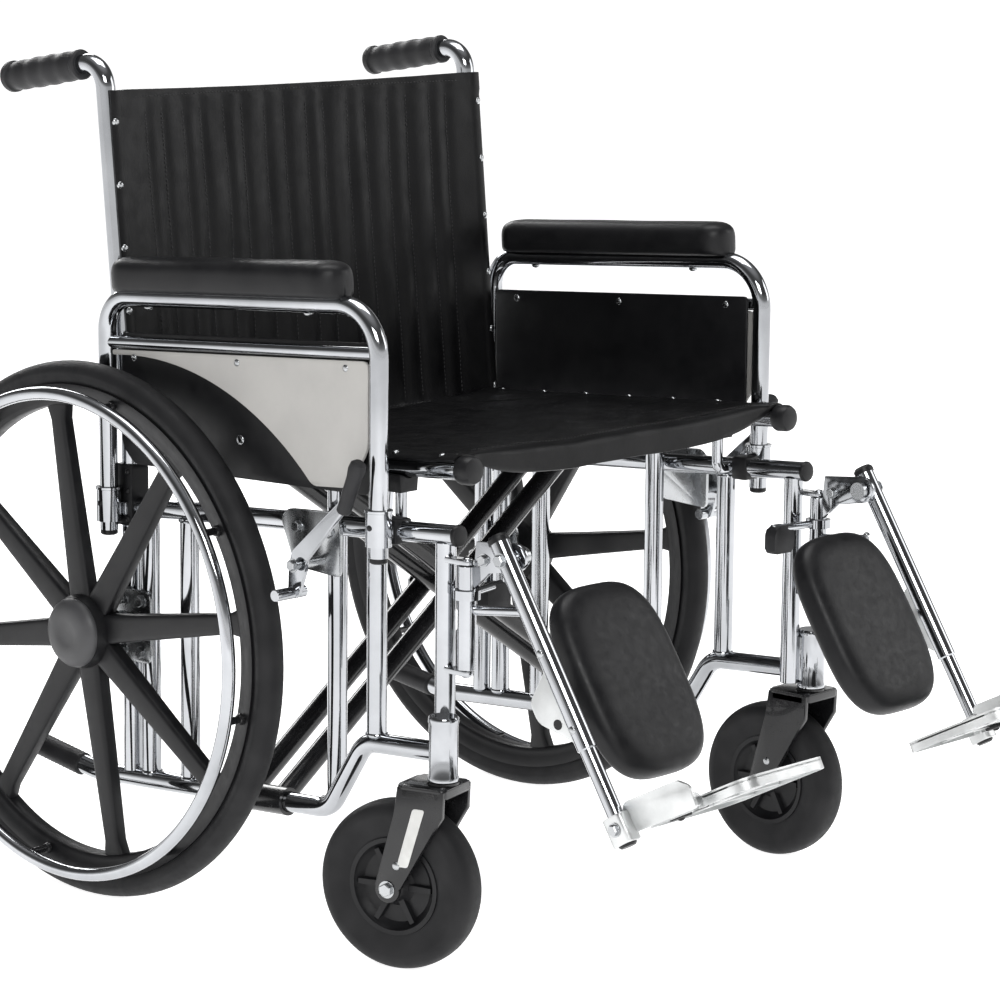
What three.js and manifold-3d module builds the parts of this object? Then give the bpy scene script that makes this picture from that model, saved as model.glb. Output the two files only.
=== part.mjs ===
// Heavy-duty folding manual wheelchair.
// Millimetres, +Z up, the seat faces -Y, the occupant's left is +X, the floor is z = 0.
// The left half is modelled once and mirrored to make the right half.
import * as THREE from 'three';
import { mergeVertices } from 'three/addons/utils/BufferGeometryUtils.js';
import Module from 'manifold-3d';

const wasm = await Module();
wasm.setup();

// ---- driving dimensions -------------------------------------------------------------------
const GAP = 0.3;                 // clearance kept between touching pieces
const RAKE = 3.5 * Math.PI / 180; // the rails rise towards the front by this angle
const AXLE_Y = 293;              // rear axle, measured back from the centre of the whole box

const TUBE = 11.1;               // 7/8 inch frame tube, outside radius
const FRAME_X = 296;             // side frame plane
const SEAT_X = 268;              // seat rail
const ARM_X = 322;               // armrest tube plane
const LEG_X = 312;               // legrest tube plane
const WHEEL_X = 362;             // middle of the rear tyre
const HANDRIM_X = 404;

const CANE_Y = 0;                // upright of the back, in line with the axle
const LEAN_Z = 520;              // the back leans rearwards above this height
const HANDLE = { y: 40, z: 937 }; // where the cane turns into the push handle
const AXLE_POST_Y = -31;         // second upright, welded to the cane by the axle plate
const REAR_POST_Y = -96;
const SEAT_POST_Y = -301;
const MID_POST_Y = -388;
const STEM_Y = -488;             // caster stem and front post
const SADDLE_Y = [-120, -396];   // seat rail supports on the upper rail

const LOWER_Z = 122;             // rail heights at the rear axle, before the rake is added
const RAISED_Z = 203;
const UPPER_Z = 437;
const SEAT_Z = 502;
const ARM_Z = 678;
const CROSSBAR_Z = 627;

const TYRE_R = 305;
const TYRE_HALF = 17.5;
const TYRE_SIDES = 32;
const RIM_R = 278;
const HANDRIM_R = 272;
const HUB_R = 40;
const SPOKES = 8;
const SPOKE_TURN = -10 * Math.PI / 180; // the wheels rest with their spokes a little off level
const HANDRIM_TUBE = 7.5;
const AXLE_R = 6;
const AXLE_Z = TYRE_R * Math.cos(Math.PI / TYRE_SIDES); // the tyre stands on one of its flats

const CASTER_R = 92;
const CASTER_HALF = 22;
const CASTER_SIDES = 24;
const CASTER_HUB_R = 52;
const CASTER_X = 316;            // caster stem, outboard and forward of the front post
const CASTER_Y = -505;
const CASTER_TRAIL = 50;
const CASTER_YAW = { left: 0, right: 14 * Math.PI / 180 }; // how far each caster rests turned
const CASTER_Z = CASTER_R * Math.cos(Math.PI / CASTER_SIDES);
const HOUSING_R = 16.5;
const HOUSING_Z = [208, 279];
const STEM_R = 8;

const HANGER = { x: 300, y: -522, r: 10, low: 328.6, high: 439.4, pin: 5 };
const KNEE = { y: -588, z: 456 };
const LEG_ANGLE = 32 * Math.PI / 180; // legrest tube, from vertical
const LEG_LENGTH = 318;
const CALF = { x: 205, s: 150, width: 158, length: 215, back: 27, thick: 36, pivot: 37, pin: 5 };
const FOOT = { hingeX: 293, s: 300, innerX: 150, heel: 10, toe: 155, top: 3, under: -10,
  tilt: 5 * Math.PI / 180, lugs: [16, 88], pin: 4 };

const BRACE_R = 12;
const BRACE_A_Y = [-196, -248];  // tube stations along the raked fold axis
const BRACE_B_Y = [-222, -274];
const SEAT_RAIL_Y = [-52, -528];
const SEAT_CLOTH_Y = [-56, -510];

const TIP = { lock: 26 };

// ---- materials ----------------------------------------------------------------------------
const FINISH = {
  chrome: { color: 0xc9ccd0, roughness: 0.15, metalness: 1 },
  steel: { color: 0xa9adb2, roughness: 0.35, metalness: 1 },
  aluminium: { color: 0xc4c6c8, roughness: 0.4, metalness: 1 },
  blackPaint: { color: 0x15161a, roughness: 0.4, metalness: 0.2 },
  blackPlastic: { color: 0x1b1b1e, roughness: 0.5, metalness: 0 },
  greyPanel: { color: 0xb5b2ad, roughness: 0.5, metalness: 0 },
  rubber: { color: 0x1a1a1c, roughness: 0.8, metalness: 0 },
  vinyl: { color: 0x141416, roughness: 0.45, metalness: 0 },
};

function part(name, geometry, finish) {
  const mesh = new THREE.Mesh(geometry, new THREE.MeshStandardMaterial(FINISH[finish]));
  mesh.name = name;
  return mesh;
}

// ---- solids -------------------------------------------------------------------------------
function toSolid(geometry) {
  const bare = geometry.clone();
  bare.deleteAttribute('normal');
  bare.deleteAttribute('uv');
  const merged = mergeVertices(bare, 1e-3);
  return new wasm.Manifold(new wasm.Mesh({
    numProp: 3,
    vertProperties: new Float32Array(merged.attributes.position.array),
    triVerts: new Uint32Array(merged.index.array),
  }));
}

function toGeometry(solid) {
  const mesh = solid.getMesh();
  const geometry = new THREE.BufferGeometry();
  geometry.setAttribute('position', new THREE.BufferAttribute(new Float32Array(mesh.vertProperties), 3));
  geometry.setIndex(new THREE.BufferAttribute(new Uint32Array(mesh.triVerts), 1));
  return geometry;
}

function join(...pieces) {
  return toGeometry(pieces.map(toSolid).reduce((whole, piece) => whole.add(piece)));
}

function cut(piece, ...tools) {
  return toGeometry(tools.map(toSolid).reduce((rest, tool) => rest.subtract(tool), toSolid(piece)));
}

const V = (x, y, z) => new THREE.Vector3(x, y, z);
const raked = (z, y) => z - y * Math.tan(RAKE);

function box(x, y, z) {
  const geometry = new THREE.BoxGeometry(x[1] - x[0], y[1] - y[0], z[1] - z[0]);
  return geometry.translate((x[0] + x[1]) / 2, (y[0] + y[1]) / 2, (z[0] + z[1]) / 2);
}

function rod(from, to, radius, sides = 12) {
  const along = to.clone().sub(from);
  const geometry = new THREE.CylinderGeometry(radius, radius, along.length(), sides);
  geometry.applyQuaternion(new THREE.Quaternion().setFromUnitVectors(V(0, 1, 0), along.normalize()));
  const middle = from.clone().add(to).multiplyScalar(0.5);
  return geometry.translate(middle.x, middle.y, middle.z);
}

// A bent tube's centre line: straight runs, with each corner rounded by an arc.
class Route extends THREE.Curve {
  constructor(corners, bend) {
    super();
    this.points = [corners[0]];
    this.tangents = [corners[1].clone().sub(corners[0]).normalize()];
    for (let i = 1; i < corners.length - 1; i += 1) this.round(corners, i, bend);
    this.points.push(corners.at(-1));
    this.tangents.push(corners.at(-1).clone().sub(corners.at(-2)).normalize());
  }

  round(corners, i, bend) {
    const into = corners[i].clone().sub(corners[i - 1]).normalize();
    const out = corners[i + 1].clone().sub(corners[i]).normalize();
    const turn = into.angleTo(out);
    const axis = into.clone().cross(out).normalize();
    const start = corners[i].clone().addScaledVector(into, -bend * Math.tan(turn / 2));
    const centre = start.clone().addScaledVector(axis.clone().cross(into), bend);
    const steps = Math.max(1, Math.round(turn / (18 * Math.PI / 180)));
    for (let k = 0; k <= steps; k += 1) {
      const angle = turn * k / steps;
      const spoke = start.clone().sub(centre).applyAxisAngle(axis, angle);
      this.points.push(centre.clone().add(spoke));
      this.tangents.push(into.clone().applyAxisAngle(axis, angle));
    }
  }

  getPointAt(u) {
    return this.points[Math.round(u * (this.points.length - 1))].clone();
  }

  getTangentAt(u) {
    return this.tangents[Math.round(u * (this.points.length - 1))].clone();
  }
}

function circleShape(radius, sides = 12) {
  const corner = (_, i) => {
    const angle = 2 * Math.PI * i / sides;
    return new THREE.Vector2(radius * Math.cos(angle), radius * Math.sin(angle));
  };
  return new THREE.Shape(Array.from({ length: sides }, corner));
}

function tube(corners, radius, bend) {
  const route = new Route(corners, bend);
  return new THREE.ExtrudeGeometry(circleShape(radius), {
    steps: route.points.length - 1, extrudePath: route, bevelEnabled: false,
  });
}

// Turned solid around an axis parallel to X. Profile points are [radius, offset along X].
function turnedX(profile, sides, x, y, z, phase = 0) {
  const points = profile.map(([r, along]) => new THREE.Vector2(r, along));
  const geometry = new THREE.LatheGeometry(points, sides, phase);
  geometry.rotateZ(-Math.PI / 2);
  return geometry.translate(x, y, z);
}

// Turned solid around a vertical axis. Profile points are [radius, height].
function turnedZ(profile, sides, x, y, z) {
  const points = profile.map(([r, up]) => new THREE.Vector2(r, up));
  return new THREE.LatheGeometry(points, sides).rotateX(Math.PI / 2).translate(x, y, z);
}

// Flat plate in a Y-Z plane: an outline of [y, z] points between two X values.
function plateX(shape, x) {
  const geometry = new THREE.ExtrudeGeometry(shape, {
    depth: x[1] - x[0], bevelEnabled: false, curveSegments: 8,
  });
  geometry.rotateY(Math.PI / 2).rotateX(Math.PI / 2);
  return geometry.translate(x[0], 0, 0);
}

function outline(points) {
  return new THREE.Shape(points.map(([a, b]) => new THREE.Vector2(a, b)));
}

function stadium(length, width, corner) {
  const a = length / 2 - corner;
  const b = width / 2 - corner;
  const shape = new THREE.Shape();
  shape.absarc(a, b, corner, 0, Math.PI / 2);
  shape.absarc(-a, b, corner, Math.PI / 2, Math.PI);
  shape.absarc(-a, -b, corner, Math.PI, 1.5 * Math.PI);
  shape.absarc(a, -b, corner, 1.5 * Math.PI, 2 * Math.PI);
  return shape;
}

// ---- side frame ---------------------------------------------------------------------------
const lowerRailAxis = [
  V(FRAME_X, 165, 134), V(FRAME_X, 60, raked(LOWER_Z, 60)), V(FRAME_X, -318, raked(LOWER_Z, -318)),
  V(FRAME_X, -372, raked(RAISED_Z, -372)), V(FRAME_X, STEM_Y, raked(RAISED_Z, STEM_Y)),
];
const canePath = [
  V(FRAME_X, CANE_Y, raked(LOWER_Z, CANE_Y)), V(FRAME_X, CANE_Y, LEAN_Z),
  V(FRAME_X, HANDLE.y, HANDLE.z), V(FRAME_X, HANDLE.y + 152, 913),
];
const caneBend = 28;

const railTool = (z, radius) => rod(V(FRAME_X, 80, raked(z, 80)), V(FRAME_X, -560, raked(z, -560)), radius);
const post = (y, low, high) => rod(V(FRAME_X, y, raked(low, y)), V(FRAME_X, y, raked(high, y)), TUBE);
const postRailTool = () => rod(V(FRAME_X, -12, raked(UPPER_Z, -12)), V(FRAME_X, -560, raked(UPPER_Z, -560)), TUBE + GAP);
const uprightTool = (y) => rod(V(FRAME_X, y, 100), V(FRAME_X, y, 640), TUBE + GAP);

// Cane and axle post, joined by the plate and boss that hold the rear axle.
function backCane() {
  const plate = box([303, 311], [AXLE_POST_Y - 14, CANE_Y + 15], [262, 345]);
  const boss = rod(V(303, 0, AXLE_Z), V(322, 0, AXLE_Z), 15, 16);
  const whole = join(tube(canePath, TUBE, caneBend), post(AXLE_POST_Y, LOWER_Z + 5, UPPER_Z - 9), plate,
    boss);
  const bore = rod(V(300, 0, AXLE_Z), V(330, 0, AXLE_Z), AXLE_R + GAP);
  return cut(whole, bore, railTool(LOWER_Z, TUBE + GAP), postRailTool());
}

function pushGrip() {
  const reach = 128;
  const profile = [[0, reach - 7], [TUBE + GAP, reach - 7], [TUBE + GAP, 0], [16, 0], [18, 8], [17, 60],
    [18, 110], [16, reach - 6], [10, reach], [0, reach]];
  const points = profile.map(([r, along]) => new THREE.Vector2(r, along));
  const geometry = new THREE.LatheGeometry(points, 16);
  const along = canePath[3].clone().sub(canePath[2]).normalize();
  geometry.applyQuaternion(new THREE.Quaternion().setFromUnitVectors(V(0, 1, 0), along));
  const start = canePath[3].clone().addScaledVector(along, 9 - reach);
  return geometry.translate(start.x, start.y, start.z);
}

function collar(y, low, high) {
  return rod(V(ARM_X, y, low), V(ARM_X, y, high), 14.4, 16);
}

function saddleBlock(y) {
  const top = raked(SEAT_Z, y);
  return box([SEAT_X - 13, SEAT_X + 13], [y - 11, y + 11], [top - 26, top - 12.6]);
}

const seatRailTool = (radius) => rod(V(SEAT_X, 40, raked(SEAT_Z, 40)), V(SEAT_X, -600, raked(SEAT_Z, -600)), radius);

// Upper rail with its two armrest sockets and its two seat rail saddles.
function upperRail() {
  const rail = rod(V(FRAME_X, CANE_Y, raked(UPPER_Z, CANE_Y)), V(FRAME_X, -508, raked(UPPER_Z, -508)), TUBE);
  const pieces = [cut(rail, uprightTool(CANE_Y))];
  for (const y of [0, -415]) {
    const z = raked(UPPER_Z, y);
    const socketY = y === 0 ? 9 : y;
    pieces.push(collar(socketY, z - 14, z + 24));
    pieces.push(box([FRAME_X + 4, ARM_X], [y - (y === 0 ? 36 : 7), y + 2], [z - 3, z + 8]));
  }
  for (const y of SADDLE_Y) {
    const z = raked(UPPER_Z, y);
    pieces.push(box([SEAT_X - 8, FRAME_X], [y - 8, y + 8], [z - 4, z + 4]));
    pieces.push(box([SEAT_X - 8, SEAT_X + 4], [y - 8, y + 8], [z - 4, raked(SEAT_Z, y) - 20]));
    pieces.push(saddleBlock(y));
  }
  const bores = [9, -415].map((y) => rod(V(ARM_X, y, 380), V(ARM_X, y, 560), 10.9, 16));
  return cut(join(...pieces), ...bores, seatRailTool(TUBE + 0.6), uprightTool(CANE_Y));
}

// Front post, the caster stem housing under it, and the two lugs that carry the legrest.
function frontPost() {
  const top = raked(UPPER_Z, STEM_Y);
  const turned = turnedZ([
    [0, HOUSING_Z[1] - 8], [STEM_R + GAP, HOUSING_Z[1] - 8], [STEM_R + GAP, HOUSING_Z[0]],
    [HOUSING_R, HOUSING_Z[0]], [HOUSING_R, HOUSING_Z[1]], [0, HOUSING_Z[1]],
  ], 16, CASTER_X, CASTER_Y, 0);
  const upright = rod(V(FRAME_X, STEM_Y, HOUSING_Z[0] + 8), V(FRAME_X, STEM_Y, top), TUBE);
  const web = box([FRAME_X + 4, CASTER_X - 4], [CASTER_Y + 3, STEM_Y - 2], [HOUSING_Z[0] + 10, HOUSING_Z[1] - 7]);
  const lug = ([from, to]) => join(box([HANGER.x - 7, HANGER.x + 7], [HANGER.y, STEM_Y - 6], [from, to]),
    rod(V(HANGER.x, HANGER.y, from), V(HANGER.x, HANGER.y, to), 7.5, 16));
  const pin = (from, to) => rod(V(HANGER.x, HANGER.y, from), V(HANGER.x, HANGER.y, to), HANGER.pin);
  const low = HANGER.low - GAP;
  const high = HANGER.high + GAP;
  const whole = join(turned, upright, web, lug([low - 6, low]), lug([high, high + 6]), pin(low - 1, low + 24),
    pin(high - 16, high + 1));
  const bore = rod(V(CASTER_X, CASTER_Y, HOUSING_Z[0] - 5), V(CASTER_X, CASTER_Y, HOUSING_Z[1] - 8), STEM_R + GAP, 16);
  return cut(whole, bore, railTool(UPPER_Z, TUBE + GAP));
}

function midPost() {
  return cut(post(MID_POST_Y, RAISED_Z + 5, UPPER_Z - 5), railTool(RAISED_Z, TUBE + GAP), railTool(UPPER_Z, TUBE + GAP));
}

// Inboard post that carries the seat rail on a saddle.
function seatPost() {
  const foot = raked(LOWER_Z, SEAT_POST_Y);
  const top = raked(SEAT_Z, SEAT_POST_Y) - 20;
  const stem = tube([V(FRAME_X, SEAT_POST_Y, foot), V(SEAT_X, SEAT_POST_Y, foot), V(SEAT_X, SEAT_POST_Y, top)], TUBE, 16);
  return cut(join(stem, saddleBlock(SEAT_POST_Y)), tube(lowerRailAxis, TUBE + GAP, 34), seatRailTool(TUBE + 0.6));
}

function rearPost() {
  return cut(post(REAR_POST_Y, LOWER_Z + 5, UPPER_Z - 5), railTool(LOWER_Z, TUBE + GAP), railTool(UPPER_Z, TUBE + GAP));
}

// Lower rail, its raised front run and the tipping lever at its rear end.
function lowerRail() {
  const lever = rod(V(FRAME_X, 85, 121), V(FRAME_X, 169, 134.5), 13.5);
  const whole = join(tube(lowerRailAxis, TUBE, 34), lever);
  const housing = rod(V(CASTER_X, CASTER_Y, 190), V(CASTER_X, CASTER_Y, 300), HOUSING_R + GAP, 16);
  return cut(whole, rod(V(FRAME_X, STEM_Y, 190), V(FRAME_X, STEM_Y, 300), TUBE + GAP), housing);
}

function sideFrame(side) {
  return [
    part(`${side}_back_cane`, backCane(), 'chrome'),
    part(`${side}_push_grip`, pushGrip(), 'rubber'),
    part(`${side}_upper_rail`, upperRail(), 'chrome'),
    part(`${side}_front_post`, frontPost(), 'chrome'),
    part(`${side}_mid_post`, midPost(), 'chrome'),
    part(`${side}_seat_post`, seatPost(), 'chrome'),
    part(`${side}_rear_post`, rearPost(), 'chrome'),
    part(`${side}_lower_rail`, lowerRail(), 'chrome'),
  ];
}

// ---- rear wheel ---------------------------------------------------------------------------
function rearTyre() {
  const inner = RIM_R + GAP;
  const profile = [[inner, -12], [290, -TYRE_HALF], [300, -12.5], [TYRE_R, -3], [TYRE_R, 3], [300, 12.5],
    [290, TYRE_HALF], [inner, 12], [inner, -12]];
  return turnedX(profile, TYRE_SIDES, WHEEL_X, 0, AXLE_Z, Math.PI / TYRE_SIDES);
}

function spoke(angle) {
  const shape = outline([[26, -10], [26, 10], [44, 17], [RIM_R - 9, 12], [RIM_R - 9, -12], [44, -17]].reverse());
  return plateX(shape, [WHEEL_X - 8.5, WHEEL_X + 7.5]).rotateX(angle).translate(0, 0, AXLE_Z);
}

function magWheel() {
  const rim = turnedX([[258, -10], [RIM_R, -13], [RIM_R, 13], [258, 10], [258, -10]],
    TYRE_SIDES, WHEEL_X, 0, AXLE_Z, Math.PI / TYRE_SIDES);
  const hub = turnedX([[0, -38], [0, 34], [26, 34], [HUB_R, 26], [HUB_R, -14], [24, -20], [20, -38], [0, -38]].reverse(),
    16, WHEEL_X, 0, AXLE_Z);
  const spokes = Array.from({ length: SPOKES }, (_, i) => spoke(SPOKE_TURN + i * 2 * Math.PI / SPOKES));
  const bore = rod(V(300, 0, AXLE_Z), V(420, 0, AXLE_Z), AXLE_R + GAP);
  return cut(join(rim, hub, ...spokes), bore);
}

function handrim() {
  const section = Array.from({ length: 7 }, (_, i) => {
    const angle = 2 * Math.PI * i / 6;
    return [HANDRIM_R + HANDRIM_TUBE * Math.cos(angle), HANDRIM_TUBE * Math.sin(angle)];
  });
  const ring = turnedX(section, TYRE_SIDES, HANDRIM_X, 0, AXLE_Z, Math.PI / TYRE_SIDES);
  const standoffs = Array.from({ length: SPOKES }, (_, i) => {
    const angle = SPOKE_TURN + (i + 0.5) * 2 * Math.PI / SPOKES;
    const at = (x) => V(x, 268 * Math.cos(angle), AXLE_Z + 268 * Math.sin(angle));
    return rod(at(WHEEL_X + 13 + GAP), at(HANDRIM_X), 4.5, 6);
  });
  return join(ring, ...standoffs);
}

function rearAxle() {
  const profile = [[0, 300 + GAP], [AXLE_R, 300 + GAP], [AXLE_R, 397], [11, 397], [11, 403], [0, 403]];
  return turnedX(profile, 12, 0, 0, AXLE_Z);
}

function rearWheel(side) {
  return [
    part(`${side}_rear_tyre`, rearTyre(), 'rubber'),
    part(`${side}_mag_wheel`, magWheel(), 'blackPlastic'),
    part(`${side}_handrim`, handrim(), 'chrome'),
    part(`${side}_rear_axle`, rearAxle(), 'steel'),
  ];
}

// ---- caster -------------------------------------------------------------------------------
// Modelled about its stem axis at x = 0, y = 0, trailing straight back.
function forkLeg(x) {
  const foot = [];
  for (let i = 0; i <= 6; i += 1) {
    const angle = Math.PI * (0.92 + i * 1.0 / 6);
    foot.push([CASTER_TRAIL + 15 * Math.cos(angle), CASTER_Z + 15 * Math.sin(angle)]);
  }
  return plateX(outline([[-20, 206], [-18, 172], ...foot, [44, 172], [40, 206]].reverse()), x);
}

function casterFork() {
  const crown = box([-31, 31], [-20, 40], [198, 206]);
  const stem = rod(V(0, 0, 200), V(0, 0, HOUSING_Z[1] - 10), STEM_R, 16);
  const bore = rod(V(-50, CASTER_TRAIL, CASTER_Z), V(50, CASTER_TRAIL, CASTER_Z), 5 + GAP);
  return cut(join(crown, stem, forkLeg([25, 31]), forkLeg([-31, -25])), bore);
}

function casterWheel() {
  const profile = [[5 + GAP, -24.5], [14, -24.5], [18, -15], [CASTER_HUB_R, -17], [CASTER_HUB_R, 17], [18, 15],
    [14, 24.5], [5 + GAP, 24.5], [5 + GAP, -24.5]];
  return turnedX(profile, 18, 0, CASTER_TRAIL, CASTER_Z);
}

function casterTyre() {
  const inner = CASTER_HUB_R + 0.8;
  const profile = [[inner, -18], [76, -CASTER_HALF], [87, -16], [CASTER_R, -5], [CASTER_R, 5], [87, 16],
    [76, CASTER_HALF], [inner, 18], [inner, -18]];
  return turnedX(profile, CASTER_SIDES, 0, CASTER_TRAIL, CASTER_Z, Math.PI / CASTER_SIDES);
}

function casterAxle() {
  const profile = [[0, -38], [9, -38], [9, -31 - GAP], [5, -31 - GAP], [5, 31 + GAP], [9, 31 + GAP], [9, 37], [0, 37]];
  return turnedX(profile, 12, 0, CASTER_TRAIL, CASTER_Z);
}

function caster(side, sign) {
  const group = new THREE.Group();
  group.position.set(CASTER_X, CASTER_Y, 0);
  group.rotation.z = sign * CASTER_YAW[side];
  group.add(
    part(`${side}_caster_fork`, casterFork(), 'blackPaint'),
    part(`${side}_caster_wheel`, casterWheel(), 'blackPlastic'),
    part(`${side}_caster_tyre`, casterTyre(), 'rubber'),
    part(`${side}_caster_axle`, casterAxle(), 'steel'),
  );
  return group;
}

// ---- armrest ------------------------------------------------------------------------------
const ARM_REAR_Y = 9;
const ARM_FRONT_Y = -415;
const PAD = { y: -190, length: 352, thick: 40, over: 5.5 };
const PANEL_ARC = { y: -50, z: 236, r: 380 }; // edge of the grey panel over the wheel

const armLoop = (radius) => tube([
  V(ARM_X, ARM_REAR_Y, 412), V(ARM_X, ARM_REAR_Y, raked(ARM_Z, ARM_REAR_Y)),
  V(ARM_X, ARM_FRONT_Y, raked(ARM_Z, ARM_FRONT_Y)), V(ARM_X, ARM_FRONT_Y, 436),
], radius, 46);

function armFrame() {
  const from = V(ARM_X, ARM_REAR_Y, raked(CROSSBAR_Z, ARM_REAR_Y));
  return join(armLoop(10.4), rod(from, V(ARM_X, ARM_FRONT_Y, raked(CROSSBAR_Z, ARM_FRONT_Y)), 7));
}

// The pad sits over the loop's top run, which lies in a groove under it.
function armPad() {
  const geometry = new THREE.ExtrudeGeometry(stadium(54, PAD.length, 24), {
    depth: PAD.thick, bevelEnabled: false, curveSegments: 4,
  });
  geometry.rotateX(-RAKE).translate(ARM_X, PAD.y, raked(ARM_Z + PAD.over, PAD.y));
  return cut(geometry, armLoop(10.4 + GAP));
}

// Grey outer panel: straight top and front, and a concave arc over the wheel.
function armPanel() {
  const top = CROSSBAR_Z - 8;
  const front = ARM_FRONT_Y + 12;
  const bottom = raked(484, -300);
  const points = [[-4, raked(top, -4)], [front, raked(top, front)], [front, raked(526, front)],
    [front + 42, raked(484, front + 42)]];
  const low = Math.atan2(bottom - PANEL_ARC.z, -Math.sqrt(PANEL_ARC.r ** 2 - (bottom - PANEL_ARC.z) ** 2));
  const high = Math.acos((-4 - PANEL_ARC.y) / PANEL_ARC.r);
  for (let i = 0; i <= 8; i += 1) {
    const angle = low + (high - low) * i / 8;
    points.push([PANEL_ARC.y + PANEL_ARC.r * Math.cos(angle), PANEL_ARC.z + PANEL_ARC.r * Math.sin(angle)]);
  }
  return plateX(outline(points), [323, 327]);
}

// Black clothing guard, a full plate between the armrest posts.
function armGuard() {
  const rear = -5;
  const front = ARM_FRONT_Y + 13;
  const points = [[rear, raked(CROSSBAR_Z + 10, rear)], [front, raked(CROSSBAR_Z + 10, front)],
    [front, raked(486, front)], [front + 12, raked(474, front + 12)], [rear - 20, raked(490, rear)],
    [rear, raked(510, rear)]];
  return plateX(outline(points), [310, 313.5]);
}

function armrest(side) {
  return [
    part(`${side}_arm_frame`, armFrame(), 'chrome'),
    part(`${side}_arm_pad`, armPad(), 'rubber'),
    part(`${side}_arm_panel`, armPanel(), 'greyPanel'),
    part(`${side}_arm_guard`, armGuard(), 'blackPlastic'),
  ];
}

// ---- wheel lock ---------------------------------------------------------------------------
const LOCK = { y: -322, z: 420, x: 349, shoeY: -316, shoeZ: 389 };

function lockBracket() {
  const inner = FRAME_X + TUBE + GAP;
  const plate = plateX(outline([[-348, 404], [-348, 462], [-338, 474], [-268, 470], [-258, 458], [-280, 408]]),
    [inner, inner + 5]);
  const pin = rod(V(inner + 2, LOCK.y, LOCK.z), V(LOCK.x + 8, LOCK.y, LOCK.z), 5);
  return join(plate, pin);
}

function lockLever() {
  const x = [LOCK.x - 2.5, LOCK.x + 2.5];
  const blade = plateX(outline([[LOCK.y - 12, LOCK.z + 4], [-396, 490], [-388, 498], [LOCK.y + 8, LOCK.z + 13],
    [LOCK.y + 12, LOCK.z - 6], [LOCK.shoeY + 7, LOCK.shoeZ - 6], [LOCK.shoeY - 7, LOCK.shoeZ - 6],
    [LOCK.y - 13, LOCK.z - 4]]), x);
  const grip = rod(V(LOCK.x, -390, 486), V(LOCK.x, -412, 540), 8.5);
  const shoe = rod(V(LOCK.x - TIP.lock / 2, LOCK.shoeY, LOCK.shoeZ), V(WHEEL_X + 16, LOCK.shoeY, LOCK.shoeZ), 6.5);
  return cut(join(blade, grip, shoe), rod(V(LOCK.x - 10, LOCK.y, LOCK.z), V(LOCK.x + 10, LOCK.y, LOCK.z), 5 + GAP));
}

function wheelLock(side) {
  return [
    part(`${side}_lock_bracket`, lockBracket(), 'steel'),
    part(`${side}_lock_lever`, lockLever(), 'chrome'),
  ];
}

// ---- legrest ------------------------------------------------------------------------------
function hanger() {
  const column = turnedZ([
    [0, HANGER.low + 26], [HANGER.pin + GAP, HANGER.low + 26], [HANGER.pin + GAP, HANGER.low], [HANGER.r, HANGER.low],
    [HANGER.r, HANGER.high], [HANGER.pin + GAP, HANGER.high], [HANGER.pin + GAP, HANGER.high - 18],
    [0, HANGER.high - 18],
  ], 16, HANGER.x, HANGER.y, 0);
  const knee = [];
  for (let i = 0; i <= 6; i += 1) {
    const angle = Math.PI * (0.5 + i / 6);
    knee.push([KNEE.y + 15 * Math.cos(angle), KNEE.z + 15 * Math.sin(angle)]);
  }
  const top = plateX(outline([[-528, 412], [-534, 466], ...knee, [-552, 436]]), [294, 300]);
  const strut = rod(V(HANGER.x - 3, HANGER.y - 4, 392), V(HANGER.x - 3, -594, 400), 5);
  const hole = rod(V(280, KNEE.y, KNEE.z), V(320, KNEE.y, KNEE.z), AXLE_R + GAP);
  return cut(join(column, top, strut), hole);
}

function latchLever() {
  const ring = rod(V(HANGER.x, HANGER.y, 404), V(HANGER.x, HANGER.y, 414), 14.5, 16);
  const bar = rod(V(HANGER.x - 11, HANGER.y + 1, 409), V(232, -509, 409), 4.5);
  const grip = box([226, 262], [-517, -503], [380, 405]);
  return cut(join(ring, bar, grip), rod(V(HANGER.x, HANGER.y, 395), V(HANGER.x, HANGER.y, 425), HANGER.r + GAP + 0.1, 16));
}

// Legrest pieces are modelled hanging straight down from the knee pivot, then swung forward.
// In that pose s is measured down from the pivot and t forward from the tube's axis.
function swung(geometry) {
  return geometry.rotateX(-LEG_ANGLE).translate(0, KNEE.y, KNEE.z);
}
const leg = (x, t, s) => V(x, -t, -s);

function legTube() {
  const turned = turnedZ([[0, -LEG_LENGTH], [8.5, -LEG_LENGTH], [8.5, -214], [10.5, -210], [10.5, 20], [0, 22]],
    14, LEG_X, 0, 0);
  const bolt = join(rod(leg(289, 0, 0), leg(LEG_X, 0, 0), AXLE_R), rod(leg(285, 0, 0), leg(291, 0, 0), 10));
  const anchor = plateX(outline([[4, -128], [36, -166], [36, -178], [4, -196]].reverse()), [LEG_X - 3, LEG_X + 3]);
  const arm = rod(leg(CALF.x - 30, -CALF.pivot, CALF.s), leg(LEG_X, -CALF.pivot, CALF.s), CALF.pin);
  const web = box([LEG_X - 3, LEG_X + 3], [4, CALF.pivot + 8], [-CALF.s - 12, -CALF.s + 12]);
  const clamp = box([LEG_X - 10, LEG_X + 10], [-14, 14], [-FOOT.s - 17, -FOOT.s + 14]);
  return swung(join(turned, bolt, anchor, arm, web, clamp, footBracket()));
}

// The footplate and its bracket are modelled about the footplate's hinge, which runs along
// -Y at x = 0. They are tipped down a little from square to the leg tube.
function onFootHinge(geometry) {
  return geometry.rotateX(FOOT.tilt).translate(FOOT.hingeX, 0, -FOOT.s);
}

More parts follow.
